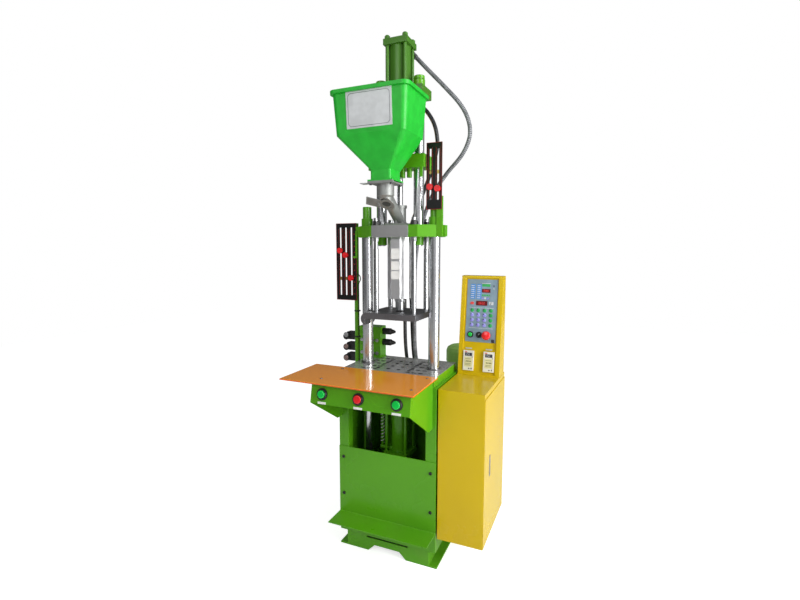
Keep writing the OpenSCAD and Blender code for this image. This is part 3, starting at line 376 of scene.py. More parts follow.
def enamel(name, slot, colour, shade, shine=0.26, coat=0.12):
    """Sprayed gloss paint: slow changes of shade, orange peel, and dust low down."""
    finish = Finish(name, slot, coat_weight=coat, coat_roughness=0.08, specular_ior_level=0.32)
    slow = finish.noise(3, 3).ramp(0.3, 0.75)
    peel = finish.noise(260)
    height = finish.axis(finish.place(), "Z")
    dust = (1 - height.ramp(0, 0.35)) * finish.noise(9, 4).ramp(0.4, 0.8)
    tone = finish.mix(slow * 0.55, colour, shade)
    finish.tone = finish.mix(dust * 0.14, tone, paint(128, 136, 80))
    finish.put(base_color=finish.tone, roughness=dust * 0.25 + slow * 0.05 + shine)
    finish.bump(peel, depth=0.0004, strength=0.18)
    return finish


def machined(name, slot, colour, shade, shine, grain, grow=1):
    """Machined or ground metal: fine streaks along one direction and oil patches."""
    finish = Finish(name, slot, metallic=1)
    finish.streak = streak = finish.noise(1, 3, finish.stretch(finish.place(), grain))
    patch = finish.noise(14, 3).ramp(0.35, 0.7)
    finish.tone = finish.mix(patch * 0.6 + streak * 0.3, (*colour, 1), (*shade, 1))
    finish.put(base_color=finish.tone, roughness=streak * 0.16 * grow + patch * 0.06 + shine)
    finish.bump(streak, depth=0.0003, strength=0.2 * grow)
    return finish


def finished(node, finish, edge=0.001):
    """The piece a CAD node stands for: its mesh merged, flat faces joined, and every
    corner sharper than 32 degrees rounded to the edge's width."""
    mesh = nodes[node].data.copy()
    mesh.name = node + "_finished"
    mesh.materials.clear()
    mesh.materials.append(finish.material)
    merged = bmesh.new()
    merged.from_mesh(mesh)
    bmesh.ops.remove_doubles(merged, verts=merged.verts, dist=2e-5)
    flat = math.radians(0.6)
    bmesh.ops.dissolve_limit(merged, angle_limit=flat, verts=merged.verts, edges=merged.edges)
    merged.to_mesh(mesh)
    merged.free()
    for face in mesh.polygons:
        face.use_smooth, face.material_index = True, 0
    piece = bpy.data.objects.new(mesh.name, mesh)
    scene.collection.objects.link(piece)
    rounding = piece.modifiers.new("edges", "BEVEL")
    rounding.width = edge
    rounding.segments = 2
    rounding.limit_method = "ANGLE"
    rounding.angle_limit = math.radians(32)
    shading = piece.modifiers.new("shading", "WEIGHTED_NORMAL")
    shading.weight = 60
    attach(piece, nodes[node]["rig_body"])
    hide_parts(node)


def turned(rings, base, axis=(0, 0, 1), sides=24):
    """A turned part: rings of (radius, height, flats) in millimetres; a ring with n
    flats is the radius times cos(pi/n) over the cosine of the angle from a flat's middle."""
    axis = np.array(axis, float) / np.linalg.norm(axis)
    side = np.cross(axis, [0.0, 0.0, 1.0] if abs(axis[2]) < 0.9 else [0.0, 1.0, 0.0])
    side /= np.linalg.norm(side)
    other = np.cross(axis, side)
    turn = np.arange(sides) * 2 * math.pi / sides
    rim = np.cos(turn)[:, None] * side + np.sin(turn)[:, None] * other
    rows = []
    for radius, height, flats in rings:
        reach = np.full(sides, radius)
        if flats:
            step = 2 * math.pi / flats
            reach = radius * math.cos(step / 2) / np.cos(turn % step - step / 2)
        rows.append(base + (height * axis + reach[:, None] * rim) / 1000)
    return grid(np.stack(rows))


def socket_screw(base, axis, r, h):
    """Cap screw: a round head of radius r and height h with a hexagon socket in it."""
    return turned(
        [(r * 0.96, 0, 0), (r, h * 0.1, 0), (r, h * 0.82, 0), (r * 0.9, h, 0),
         (r * 0.56, h, 0), (r * 0.5, h * 0.97, 6), (r * 0.46, h * 0.4, 6)],
        base, axis,
    )


def touch(node, start, direction):
    """Where a line from start first meets a CAD node, in the frame's metres."""
    mesh = nodes[node].data
    skin = BVHTree.FromPolygons([v.co for v in mesh.vertices], [p.vertices for p in mesh.polygons])
    return np.array(skin.ray_cast(Vector(start), Vector(direction))[0])


upward, forward, rearward = (0, 0, 1), (0, -1, 0), (0, 1, 0)
across = np.array([1.0, 0.0, 0.0])


def front_of(node, x, z):
    """Where the front of a CAD node is at x and z, in millimetres."""
    before_machine = -600
    return touch(node, spot(x, before_machine, z), rearward)


def panel(centre, right, up, width, height, thick, corner=1, edge=0.3):
    """A thin plate, in millimetres: a rectangle whose corners are quarter circles,
    carried outward in rings, the last of them drawn in by the edge."""
    right, up = np.array(right, float), np.array(up, float)
    out = np.cross(right, up)
    quarter = np.repeat(np.arange(4), 5)
    turn = quarter * math.pi / 2 + np.tile(np.linspace(0, math.pi / 2, 5), 4)
    middle = np.array([[1, 1], [-1, 1], [-1, -1], [1, -1]])[quarter]
    middle = middle * [width / 2 - corner, height / 2 - corner]
    rows = []
    for inset, rise in ((0, 0), (0, thick - edge), (edge * 0.4, thick - edge * 0.3), (edge, thick)):
        reach = max(corner - inset, 0.02)
        flat = middle + reach * np.stack([np.cos(turn), np.sin(turn)], 1)
        rows.append(centre + (flat[:, :1] * right + flat[:, 1:] * up + rise * out) / 1000)
    return grid(np.stack(rows))


machine_green = paint(86, 158, 20)
green = enamel("green_enamel", "green_paint", machine_green, paint(74, 143, 14))
finished("base_frame", green, edge=0.0018)
finished("front_cover", green, edge=0.0016)
black_screw = machined(
    "blackened_screw", "dark_steel", (0.05, 0.05, 0.05), (0.09, 0.09, 0.09), shine=0.35,
    grain=(80, 80, 80),
)
cover_screws, beside_hole = [], 7
for x in (-211, 211):
    for z in (259, 434):
        place = front_of("front_cover", x + beside_hole, z)
        place[0] = spot(x, 0, 0)[0]
        cover_screws.append(socket_screw(place, forward, r=7.2, h=4))
make("cover_screws", cover_screws, black_screw)
# A dark sheet just behind the plinth's slot is painted shade: it stands for the shadowed floor
# under the machine, seen through the slot.
slot_depth, slot_z, above_slot = 0.0075, 0.0655, 72.5
plinth_front = front_of("base_frame", 0, above_slot)
slot_place = [plinth_front[0], plinth_front[1] + slot_depth, slot_z]
make("plinth_slot_shade", [panel(slot_place, across, upward, 230, 20, 0.8)], black_screw)

# ---- Bed plate and bushes ----
# The bed is a ground steel block with rows of tapped holes and oval clamping slots; its
# sides are painted with the frame. Flanged steel bushes in it guide the columns.
bed_steel = machined(
    "bed_steel", "ground_steel", (0.66, 0.67, 0.66), (0.40, 0.41, 0.40), shine=0.16,
    grain=(40, 600, 40),
)
bed_low, bed_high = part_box("bed_plate")


def bed_side(name, low, high):
    """1 on the bed's outermost 2 mm along an axis, and 0 from 4 mm inwards."""
    from_middle = (bed_steel.axis(bed_steel.place(), name) - (low + high) / 2).math("ABSOLUTE")
    half = (high - low) / 2
    return from_middle.ramp(half - 0.004, half - 0.002)


sides = bed_side("X", bed_low.x, bed_high.x).math("MAXIMUM", bed_side("Y", bed_low.y, bed_high.y))
ground_top = bed_steel.axis(bed_steel.place(), "Z").ramp(bed_high.z - 0.0012, bed_high.z - 0.0006)
bare = ground_top.math("MAXIMUM", 1 - sides)
bed_steel.put(
    base_color=bed_steel.mix(bare, machine_green, bed_steel.tone), coat_weight=0.12,
    metallic=bare * 0.6, roughness=bed_steel.streak * 0.16 + 0.16,
)
finished("bed_plate", bed_steel, edge=0.0012)
dark = machined(
    "blackened_steel", "dark_steel", (0.25, 0.245, 0.26), (0.15, 0.147, 0.155), shine=0.3,
    grain=(200, 40, 40),
)
finished("column_bushes", dark, edge=0.0012)
bed_top, outer_slot_x = 844, 140
# The oval slots and a ring round each hole's mouth are thin dark plates laid on the bed's top:
# painted shade for the shadowed insides of the slots and holes, their dark tone varying a little at
# random.
bed_slots = [
    panel(spot(side * x, y, bed_top), across, rearward, 23, 10.6, 0.3, 5.2, 0.1)
    for y in (-100, -50, 0, 50, 100) for x in (78, 108, outer_slot_x) for side in (-1, 1)
    if x < outer_slot_x or abs(y) > 40
]
mouth_rings = [(5.2, 0.2, 0), (8.4, 0.2, 0), (8.8, 0, 0)]
hole_mouth_shades = [
    turned(mouth_rings, spot(x, y, bed_top), sides=20)
    for x in (-75, -25, 25, 75) for y in (-75, -25, 25, 75)
]
pit_shade = Finish("slot_pit", "dark_steel", coat_weight=0, specular_ior_level=0.1)
grime_and_shade = pit_shade.noise(160, 3)
pit_shade.put(base_color=pit_shade.mix(grime_and_shade, paint(7, 7, 8), paint(20, 19, 18)), roughness=grime_and_shade * 0.1 + 0.85)
make("bed_slots", bed_slots + hole_mouth_shades, pit_shade)

# ---- Work table ----
# A sheet steel table in front of the bed, sprayed a very glossy orange and held by four
# countersunk screws. Its sides are painted a darker red as painted shade on the sheet's
# thickness.
orange = enamel(
    "orange_enamel", "orange_paint", paint(252, 162, 50), paint(246, 148, 38), shine=0.16, coat=0.8
)
table_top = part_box("work_table")[1].z
# under the top face the colour turns a darker red: painted shade on the table's edges
edge_painted_shade = 1 - orange.axis(orange.place(), "Z").ramp(table_top - 0.0016, table_top - 0.0008)
orange.put(base_color=orange.mix(edge_painted_shade, orange.tone, paint(226, 92, 22)))
finished("work_table", orange, edge=0.0014)
sunk_screw_rings = [(6.2, 0, 0), (5.8, 0.8, 0), (3.6, 1.4, 0), (2, 0.8, 6), (1.8, 0.2, 6)]
table_z = 850
make(
    "table_screws",
    [turned(sunk_screw_rings, spot(x, y, table_z)) for x in (-200, 200) for y in (-352, -178)],
    dark,
)

# ---- Button bracket ----
# A folded green panel between two gussets under the table. Each push-button has a black
# moulded collar, a glossy coloured cap, and a bare white strip stuck on under it.


def moulding(name, slot, colour, shine, depth=0.0003, **shader):
    """Moulded plastic: a fine even texture and a slight change of shade."""
    finish = Finish(name, slot, **shader)
    slow = finish.noise(22).ramp(0.35, 0.7)
    fine = finish.noise(500)
    lighter = tuple(min(1, c * 1.16 + 0.004) for c in colour[:3]) + (1,)
    finish.put(base_color=finish.mix(slow, colour, lighter), roughness=fine * 0.1 + shine)
    finish.bump(fine, depth, strength=0.3)
    return finish


def film(name, slot, colour, shine=0.4, **shader):
    """Printed or self-adhesive film: a moulding with a finer skin."""
    return moulding(name, slot, colour, shine, 0.0001, **shader)


black = moulding("black_moulding", "black_plastic", paint(24, 24, 26), shine=0.32)
button_green = moulding("green_cap", "button_green", paint(0, 190, 70), shine=0.14, coat_weight=0.6)
red = moulding("red_moulding", "red_plastic", paint(214, 24, 30), shine=0.2, coat_weight=0.4)
finished("button_bracket", green, edge=0.0014)
finished("button_bezels", black, edge=0.0009)
bracket_up = np.array([0, 0.196116, 0.980581])
strip_drop, before_bracket = 0.037, [0, -0.3, 0]
tags = []
for node, finish in (
    ("start_button_left", button_green),
    ("stop_button", red),
    ("start_button_right", button_green),
):
    finished(node, finish, edge=0.0008)
    low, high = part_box(node)
    below = np.array((low + high) / 2) - strip_drop * bracket_up
    tag_place = touch("button_bracket", below + before_bracket, rearward)
    tags.append(panel(tag_place, across, bracket_up, 38, 9, 0.4, edge=0.1))
tag_white = film("tag_white", "white_plastic", paint(226, 228, 222), shine=0.35)
make("button_tags", tags, tag_white)

# ---- Clamping unit ----
# A tie-rod cylinder hangs under the bed and pulls the crosshead that carries both
# hard-chromed columns. A white plastic spiral is wrapped round its oil pipe.
chrome = machined(
    "hard_chrome", "hard_chrome", (0.72, 0.73, 0.75), (0.62, 0.63, 0.65), shine=0.17,
    grain=(30, 30, 900), grow=0.2,
)
finished("clamp_cylinder", green, edge=0.0012)
finished("clamp_rod", chrome)
finished("lower_crosshead", dark, edge=0.0016)
wraps, steps_a_wrap, pipe_r, wrap_rise = 20, 24, 0.0072, 0.320
share = np.linspace(0, 1, steps_a_wrap * wraps + 1)[:, None]
angle = share * wraps * 2 * math.pi
spiral = spot(-78, -25, 470) + np.hstack(
    [pipe_r * np.cos(angle), pipe_r * np.sin(angle), share * wrap_rise]
)
wrap_white = moulding("spiral_wrap", "white_plastic", paint(206, 208, 206), shine=0.4)
make("pipe_spiral_wrap", [grid(along(spiral, radius=0.0021, sides=8))], wrap_white)

# ---- Oil tank ----
# A welded steel tank behind the frame, with six plated bolts in its lid, and a level
# glass and a drain plug on its left side.


def hex_bolt(base, axis, r, h):
    """Hexagon head of radius r and height h, with its chamfered top."""
    return turned(
        [(r, 0, 6), (r, h * 0.82, 6), (r * 0.93, h * 0.93, 12), (r * 0.8, h, 0), (r * 0.2, h, 0)],
        base, axis,
    )


finished("oil_tank", green, edge=0.0018)
zinc = machined(
    "zinc_plate", "ground_steel", (0.52, 0.53, 0.54), (0.4, 0.4, 0.42), shine=0.28,
    grain=(60, 60, 300),
)
level_glass = film("level_glass", "white_plastic", paint(206, 190, 120), shine=0.1, coat_weight=0.5)
gauge_y, gauge_z = 335, 470
gauge_frame = panel(spot(-190, gauge_y, gauge_z), forward, upward, 24, 120, 6, 6, 1)
gauge_glass = panel(spot(-196, gauge_y, gauge_z), forward, upward, 12, 96, 1, 5, 0.4)
make("level_gauge_frame", [gauge_frame], zinc)
make("level_gauge_glass", [gauge_glass], level_glass)
make("tank_drain_plug", [hex_bolt(spot(-190, 300, 110), (-1, 0, 0), r=14, h=9)], zinc)
lid_z = 623
make(
    "tank_lid_screws",
    [hex_bolt(spot(x, y, lid_z), upward, r=6.5, h=5)
     for x in (-188, -60, 50) for y in (252, 418)],
    zinc,
)

# ---- Pump motor ----
# The motor stands upright on the tank's lid, in a green enamel painted paler as painted
# light, to lift the shade it stands in; black moulded rings guard the fan opening in the
# top of its pressed cowl.
# this green is lightened as painted light on the motor
motor_lit_green = enamel(
    "motor_enamel", "green_paint", paint(152, 202, 104), paint(134, 184, 84), shine=0.4, coat=0
)
finished("pump_motor", motor_lit_green, edge=0.0009)
motor_low, motor_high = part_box("pump_motor")
cowl_r = (motor_high.y - motor_low.y) / 2
cowl_top = np.array([motor_high.x - cowl_r, (motor_low.y + motor_high.y) / 2, motor_high.z])


def hoop(points):
    """A surface through a grid of points whose last ring joins its first."""
    rows, columns = points.shape[:2]
    faces = quads(rows + 1, columns) % (rows * columns)
    return points.reshape(-1, 3), faces.tolist()


def wire_ring(middle, radius, wire_r, steps=48, sides=8):
    """A wire bent round a level circle: a small circle whose own middle goes round a
    large one, cosine outward and sine upward."""
    turn = np.arange(steps) * 2 * math.pi / steps
    outward = np.stack([np.cos(turn), np.sin(turn), 0 * turn], 1)[:, None]
    round_wire = (np.arange(sides) * 2 * math.pi / sides)[None, :, None]
    wire = wire_r * (np.cos(round_wire) * outward + np.sin(round_wire) * np.array(upward))
    return hoop(middle + radius * outward + wire)


sunk_in = [0, 0, -0.0012]
grille = [wire_ring(cowl_top + sunk_in, r, wire_r=0.0014) for r in (0.016, 0.028, 0.04, 0.052)]
make("motor_grille", grille, black)

# ---- Control cabinet ----
# Folded sheet steel, sprayed yellow, with a full-height door on its right side that
# shuts with a plated swing handle.
yellow = enamel("yellow_enamel", "yellow_paint", paint(204, 174, 0), paint(196, 164, 0), shine=0.22)
finished("control_cabinet", yellow, edge=0.0022)
finished("cabinet_door", yellow, edge=0.0008)
finished("door_handle", zinc, edge=0.0007)
finished("door_lever", zinc, edge=0.0007)

# ---- Console housing ----
# A leaning housing of folded yellow sheet, screwed on top of the cabinet from inside,
# with a recess in its face for the panel, knobs and controllers.
finished("console_housing", yellow, edge=0.0022)
lean = math.atan2(58, 454)
up_panel = np.array([0, math.sin(lean), math.cos(lean)])
face_out = np.cross(across, up_panel)
recess = -3.6


def on_console(x, v, out=recess):
    """A point of the leaning face, in millimetres across, up the face and out of it."""
    return spot(243 + x, 112, 803) + (v * up_panel + out * face_out) / 1000


# ---- Membrane panel ----
# A grey plastic panel in the housing's recess, under a printed film with bars, lamps and
# two red figure displays; the coloured keys are domes moulded in the film.
membrane = moulding("grey_membrane", "grey_plastic", paint(116, 138, 152), shine=0.36, depth=0.0002)
finished("control_panel", membrane, edge=0.0006)


def plates(rows):
    """Thin plates on the console's face: each row is the middle across and up, width,
    height and thickness, then its corner and how far out it lies, in millimetres."""
    parts = []
    for x, v, width, height, thick, *rest in rows:
        corner, out = (*rest, *(0.6, recess)[len(rest):])
        place, edge = on_console(x, v, out), min(0.3, thick / 2)
        parts.append(panel(place, across, up_panel, width, height, thick, corner, edge))
    return parts


def figures(text, centre, height):
    """Seven-segment figures: each lit bar is a small plate at its place in the figure."""
    bars = {"0": "abcdef", "2": "abged", "5": "afgcd", "6": "afgedc", "8": "abcdefg"}
    place = {
        "a": (0, 1, 1), "b": (0.5, 0.5, 0), "c": (0.5, -0.5, 0), "d": (0, -1, 1),
        "e": (-0.5, -0.5, 0), "f": (-0.5, 0.5, 0), "g": (0, 0, 1),
    }
    wide, half, bar_wide, spacing = height * 0.5, height / 2, height * 0.12, height * 0.78
    parts = []
    for k, figure in enumerate(text):
        shift = (k - (len(text) - 1) / 2) * spacing
        for bar in bars[figure]:
            x, y, flat = place[bar]
            size = (wide * 0.8, bar_wide) if flat else (bar_wide, half * 0.82)
            point = centre + ((shift + x * wide) * across + y * half * up_panel) / 1000
            parts.append(panel(point, across, up_panel, *size, 0.2, corner=0.2, edge=0.05))
    return parts


blue_print = film("blue_print", "grey_plastic", paint(74, 132, 196))
green_print = film("green_print", "button_green", paint(40, 158, 76))
frosted = film("frosted_film", "white_plastic", paint(196, 200, 204))
window = film("dark_window", "red_plastic", paint(92, 22, 26), shine=0.12, coat_weight=0.5)
lit_red = Finish("lit_figures", "red_plastic", roughness=0.4, base_color=paint(210, 40, 40))
lit_red.put(emission_color=paint(255, 60, 50), emission_strength=0.5)
key_green = moulding("green_key", "button_green", paint(34, 150, 74), shine=0.24)
key_violet = moulding("violet_key", "grey_plastic", paint(136, 134, 206), shine=0.24)
key_red = moulding("red_key", "red_plastic", paint(206, 62, 58), shine=0.24)
ink = film("black_ink", "black_plastic", paint(34, 36, 52))
blue_bars = [(54.5, 385.5, 23, 69, 0.4), (83, 385.5, 22, 69, 0.4)]
make("membrane_blue_bars", plates(blue_bars), blue_print)
mark_step, lamp_step, on_print, on_window = 9.2, 7.8, recess + 0.4, recess + 0.6
bar_marks = [
    (x, 357 + mark_step * k, 14, 3, 0.2, 0.5, on_print) for x in (53, 81.5) for k in range(7)
]
make("membrane_bar_marks", plates(bar_marks), frosted)
lamps = [(114.5, 415, 37, 12, 0.4), *((99 + lamp_step * k, 369.5, 5.8, 7, 0.5) for k in range(5))]
make("membrane_green_lamps", plates(lamps), green_print)
pale_frames = [
    (114.5, 423.5, 39, 2.2, 0.3), (112, 356, 8, 8, 0.3), (150, 400, 7, 3, 0.3),
    (141, 333, 20, 14, 0.3, 2), (97.5, 311, 112, 1.2, 0.3), (97.5, 218, 112, 1.2, 0.3),
]
make("membrane_frames", plates(pale_frames), frosted)
make("membrane_windows", plates([(115, 390, 40, 17, 0.6), (97, 332.5, 53, 22, 0.6)]), window)
upper_figures = figures("0088", on_console(115, 390, on_window), height=7.5)
lower_figures = figures("0650", on_console(97, 332.5, on_window), height=9.5)
make("membrane_figures", upper_figures + lower_figures, lit_red)
key_rings = [(8.8, 0, 0), (8.8, 0.7, 0), (8.2, 1.2, 0), (6.6, 1.7, 0), (4, 2.1, 0), (1, 2.2, 0)]
key_x, key_v = (54, 83, 112, 141), (300, 278, 255, 232)


def keys(places):
    """Domed keys on the membrane, each a turned part at x and v in millimetres."""
    return [turned(key_rings, on_console(x, v), face_out) for x, v in places]


green_places = [(x, key_v[0]) for x in key_x] + [(key_x[3], v) for v in key_v[1:]]
make("green_keys", keys(green_places), key_green)
violet_places = [(x, v) for x in key_x[:3] for v in key_v[1:]]
flat_keys = plates([(101, 355, 11, 7, 0.5), (124, 355, 11, 7, 0.5)])
make("violet_keys", keys(violet_places) + flat_keys, key_violet)
make("red_key", plates([(52.5, 332, 17, 12, 1.6, 5)]), key_red)
# Each key carries a small dark dot near its upper left, made together with the printed marks.
key_dot_rings, on_key = [(3, 1.5, 0), (2.6, 2.3, 0)], recess + 0.3
printed_marks = [
    (156, 162, 14, 15, 0.6), (141, 336, 9, 2, 0.5, 0.5, on_key), (137, 330, 3, 6, 0.5, 0.5, on_key),
    (150, 413, 9, 4, 0.3),
]
make(
    "key_legends",
    [turned(key_dot_rings, on_console(x - 3.6, v + 3.8), face_out, sides=10)
     for x in key_x for v in key_v] + plates(printed_marks),
    ink,
)

# ---- Temperature controllers ----
# Two panel controllers in white moulded cases sit in the console's lower face, each with
# a cream front, a dark display window and a bare strip above it.
white = moulding("white_moulding", "white_plastic", paint(214, 212, 200), shine=0.34)
cream = film("cream_face", "white_plastic", paint(206, 200, 156))
olive_ink = film("olive_ink", "black_plastic", paint(92, 92, 44))
tag_grey = film("tag_grey", "white_plastic", paint(170, 172, 160))
on_case, on_front, letter_step = 3.1, 3.5, 6.5
for side, left in (("left", 24), ("right", 118)):
    windows = plates(
        (left + x, *measures, 1, on_case) for x, *measures in (
            (25, 95, 33, 15, 0.5), (43, 84, 4, 4, 0.6), (29, 30, 6, 5, 0.6), (40, 31, 5, 7, 0.6))
    )
    marks = plates(
        [(left + 16 + letter_step * k, 63, 4.5, 5.5, 0.3, 0.8, on_front) for k in range(4)]
        + [(left + 24, v, 26, 1.6, 0.3, 0.5, on_front) for v in (74, 52, 46)]
    )
    digits = figures("250", on_console(left + 22, 95, on_case + 0.5), height=8)
    for kind, parts, finish in (
        ("face", plates([(left + 24.5, 60, 37, 44, 0.4, 2, on_case)]), cream),
        ("window", windows, ink),
        ("marks", marks, olive_ink),
        ("digits", digits, frosted),
        ("tag", plates([(left + 24, 123, 30, 6, 0.3, 1, 0)]), tag_grey),
        ("tab", plates([(left + 13, 106, 10, 4, 0.5, 0.8, on_case)]), key_red),
    ):
        make("controller_" + kind + "_" + side, parts, finish)
finished("temperature_controllers", white, edge=0.0014)

# ---- Console button, selector and emergency stop ----
# Three moulded actuators under the membrane: a green push-button, a black selector with
# a white pointer, and a red mushroom head, each held by its black bezel.
finished("console_bezels", black, edge=0.0008)
finished("console_button", button_green, edge=0.0008)
finished("selector_knob", black, edge=0.0008)
finished("emergency_stop", red, edge=0.0012)
pointer_up = (up_panel + across) / math.sqrt(2)
pointer_right = (across - up_panel) / math.sqrt(2)
pointer_place = on_console(91, 187, recess + 15) + 0.0052 * pointer_up
make(
    "selector_pointer",
    [panel(pointer_place, pointer_right, pointer_up, 2, 6.5, 0.3, 0.6, 0.1)],
    frosted, "selector",
)

# ---- Hydraulic manifold ----
# A drilled steel block stands on the bed's rear left corner, its cross holes shut with
# plugs, and carries three solenoid valves with black coils and a round pressure gauge.
finished("manifold", green, edge=0.0014)
finished("solenoid_valves", black, edge=0.0012)
plug_pink = machined(
    "coil_plug_copper", "dark_steel", (0.42, 0.30, 0.28), (0.3, 0.2, 0.19), shine=0.34,
    grain=(90, 90, 90),
)
cap_rings = [(12.5, 0, 0), (12.5, 2, 0), (11, 3, 0), (6, 3, 0), (5.4, 1.2, 6)]
valve_x, valve_z, valve_step = -342, 828, 59.5
for name, finish, levels in (("copper", plug_pink, (0, 1)), ("grey", zinc, (2,))):
    faces = [front_of("solenoid_valves", valve_x, valve_z + valve_step * k) for k in levels]
    caps = [turned(cap_rings, face, forward, sides=30) for face in faces]
    make("valve_caps_" + name, caps, finish)
make(
    "manifold_plugs",
    [hex_bolt(front_of("manifold", x, z), forward, r=9, h=6)
     for x in (-250, -222, -190, -166) for z in (866, 930)],
    zinc,
)
satin_black = enamel(
    "satin_black", "black_metal", paint(13, 13, 14), paint(8, 8, 9), shine=0.42, coat=0
)
finished("pressure_gauge", satin_black, edge=0.0008)
dial_face = front_of("pressure_gauge", -232, 1035)
dial_rings = [(25.5, 0, 0), (25.5, 0.4, 0), (1, 0.5, 0)]
dial_white = film("dial_white", "white_plastic", paint(232, 232, 228), shine=0.25)
make("gauge_dial", [turned(dial_rings, dial_face, forward, sides=40)], dial_white)
needle_place = dial_face + [0.004, -0.0007, 0.006]
gauge_marks = [panel(needle_place, (0.83, 0, -0.55), (0.55, 0, 0.83), 1.6, 22, 0.4, 0.6, 0.1)]
tick_reach, last_tick, tick_turn = 0.0215, 135, 22.5
for turn in np.radians(np.arange(-last_tick, last_tick + 1, tick_turn)):
    outward = np.array([math.sin(turn), 0, math.cos(turn)])
    sideways = np.array([math.cos(turn), 0, -math.sin(turn)])
    tick_place = dial_face + outward * tick_reach + [0, -0.0004, 0]
    gauge_marks.append(panel(tick_place, sideways, outward, 0.9, 5, 0.3, 0.2, 0.1))
make("gauge_marks", gauge_marks, ink)

# ---- Position scales ----
# Slotted sheet plates in satin black with red printed lines and dots, on green posts.
# Red star knobs clamp the limit switches, with brass levers, where the strokes end.
finished("left_scale", satin_black, edge=0.0006)
finished("right_scale", satin_black, edge=0.0006)
scale_red = moulding("red_edge", "red_plastic", paint(150, 30, 26), shine=0.4)


def upright(x, y, z, *measures):
    """A thin plate that faces the front: its place, then its measures as a panel's."""
    return panel(spot(x, y, z), across, upward, *measures)


def edge_lines(x0, x1, z0, z1, y, slots, slot_z):
    """Thin painted lines round a plate's edge and beside its slots, in millimetres."""
    middle_x, middle_z, line, inset = (x0 + x1) / 2, (z0 + z1) / 2, 1.6, 0.8
    beside, slot_middle, slot_length = 9, sum(slot_z) / 2, slot_z[1] - slot_z[0]
    return (
        [upright(x, y, middle_z, line, z1 - z0, 0.3, 0.4, 0.1) for x in (x0 + inset, x1 - inset)]
        + [upright(middle_x, y, z, x1 - x0, line, 0.3, 0.4, 0.1) for z in (z0 + inset, z1 - inset)]
        + [upright(x + side, y, slot_middle, 1, slot_length, 0.25, 0.3, 0.1)
           for x in slots for side in (-beside, beside)]
    )


left_slots, right_slots = (-306, -277, -248), (154, 188)
make(
    "left_scale_edges", edge_lines(-330, -222, 1137, 1500, -4, left_slots, (1160, 1476)), scale_red
)
make(
    "right_scale_edges", edge_lines(136, 206, 1548, 1826, -30.5, right_slots, (1590, 1806)),
    scale_red, "head",
)
dot_rings, dot_step = [(2.8, 0, 0), (2.4, 0.4, 0)], 28
make(
    "left_scale_dots",
    [turned(dot_rings, spot(-232, -4, z), forward, sides=12) for z in range(1168, 1476, dot_step)],
    scale_red,
)
brass = machined(
    "brass_lever", "cast_metal", (0.62, 0.42, 0.16), (0.5, 0.32, 0.1), shine=0.28,
    grain=(90, 90, 90),
)
make("switch_levers_left", [upright(x, -1.5, 1240, 9, 16, 2) for x in left_slots[:2]], brass)
make("switch_levers_right", [upright(x, -28, 1704, 9, 16, 2) for x in right_slots], brass, "head")
finished("left_scale_post", green)
finished("right_scale_post", green)
tie_rings = [(14.2, 0, 0), (15.1, 0.6, 0), (15.1, 4.4, 0), (14.2, 5, 0)]
make(
    "post_cable_ties", [turned(tie_rings, spot(-229.5, 16.5, z), sides=28) for z in (958, 1083)],
    black,
)
finished("left_striker", green)
for node in ("left_knob_a", "left_knob_b", "left_knob_c", "right_knob_a", "right_knob_b"):
    finished(node, red, edge=0.0007)

# ---- Columns and top plate ----
# Two hard-chromed columns carry the flame-cut top plate between painted nuts. A bare
# steel name plate is riveted to the plate's front.
finished("columns", chrome)
finished("rod_nuts", green)
finished("top_plate", green, edge=0.002)
name_plate_z, plate_thick = 1457, 1.2
top_front = front_of("top_plate", -20, name_plate_z)
bare_plate = machined(
    "bare_name_plate", "sheet_steel", (0.52, 0.52, 0.52), (0.4, 0.4, 0.4), shine=0.3,
    grain=(300, 40, 40),
)
name_plate_place = [spot(-18, 0, 0)[0], top_front[1], name_plate_z / 1000]
make(
    "bare_name_plate",
    [panel(name_plate_place, across, upward, 176, 53, plate_thick)],
    bare_plate, "head",
)
rivet_rings = [(2.2, 0, 0), (2.1, 0.6, 0), (1.4, 1.1, 0), (0.4, 1.2, 0)]
rivet_y = top_front[1] - plate_thick / 1000
rivets = [
    turned(rivet_rings, [spot(x, 0, 0)[0], rivet_y, z / 1000], forward, sides=14)
    for x in (-101, 65) for z in (1436, 1478)
]
make("name_plate_rivets", rivets, zinc, "head")
neck_rings = [(19.2, 0, 0), (19.9, 1, 0), (19.9, 84, 0), (18.8, 86.8, 0), (10, 87.4, 0)]
neck_z = 1484.2
make(
    "column_caps", [turned(neck_rings, spot(x, 0, neck_z), sides=40) for x in (-165, 165)],
    green, "head",
)

# ---- Suspension rods and platen ----
# Four ground rods hang from the top plate by blackened nuts on washers and carry the
# blackened steel platen that takes the nozzle's thrust.
ground = machined(
    "ground_steel", "ground_steel", (0.55, 0.56, 0.57), (0.36, 0.37, 0.38), shine=0.16,
    grain=(40, 600, 40),
)
finished("suspension_rods", ground, edge=0.0008)
head_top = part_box("top_plate")[1].z
nut_rings = [
    (17.6, 0.2, 0), (17.6, 2.2, 0), (14.1, 2.4, 6), (14.1, 17, 6),
    (12.8, 18.6, 12), (10, 18.6, 0),
]
make(
    "hanger_nuts",
    [turned(nut_rings, [*spot(x, y, 0)[:2], head_top], sides=36)
     for x in (-91, 91) for y in (-60, 95)],
    black_screw, "head",
)
finished("upper_platen", dark, edge=0.002)

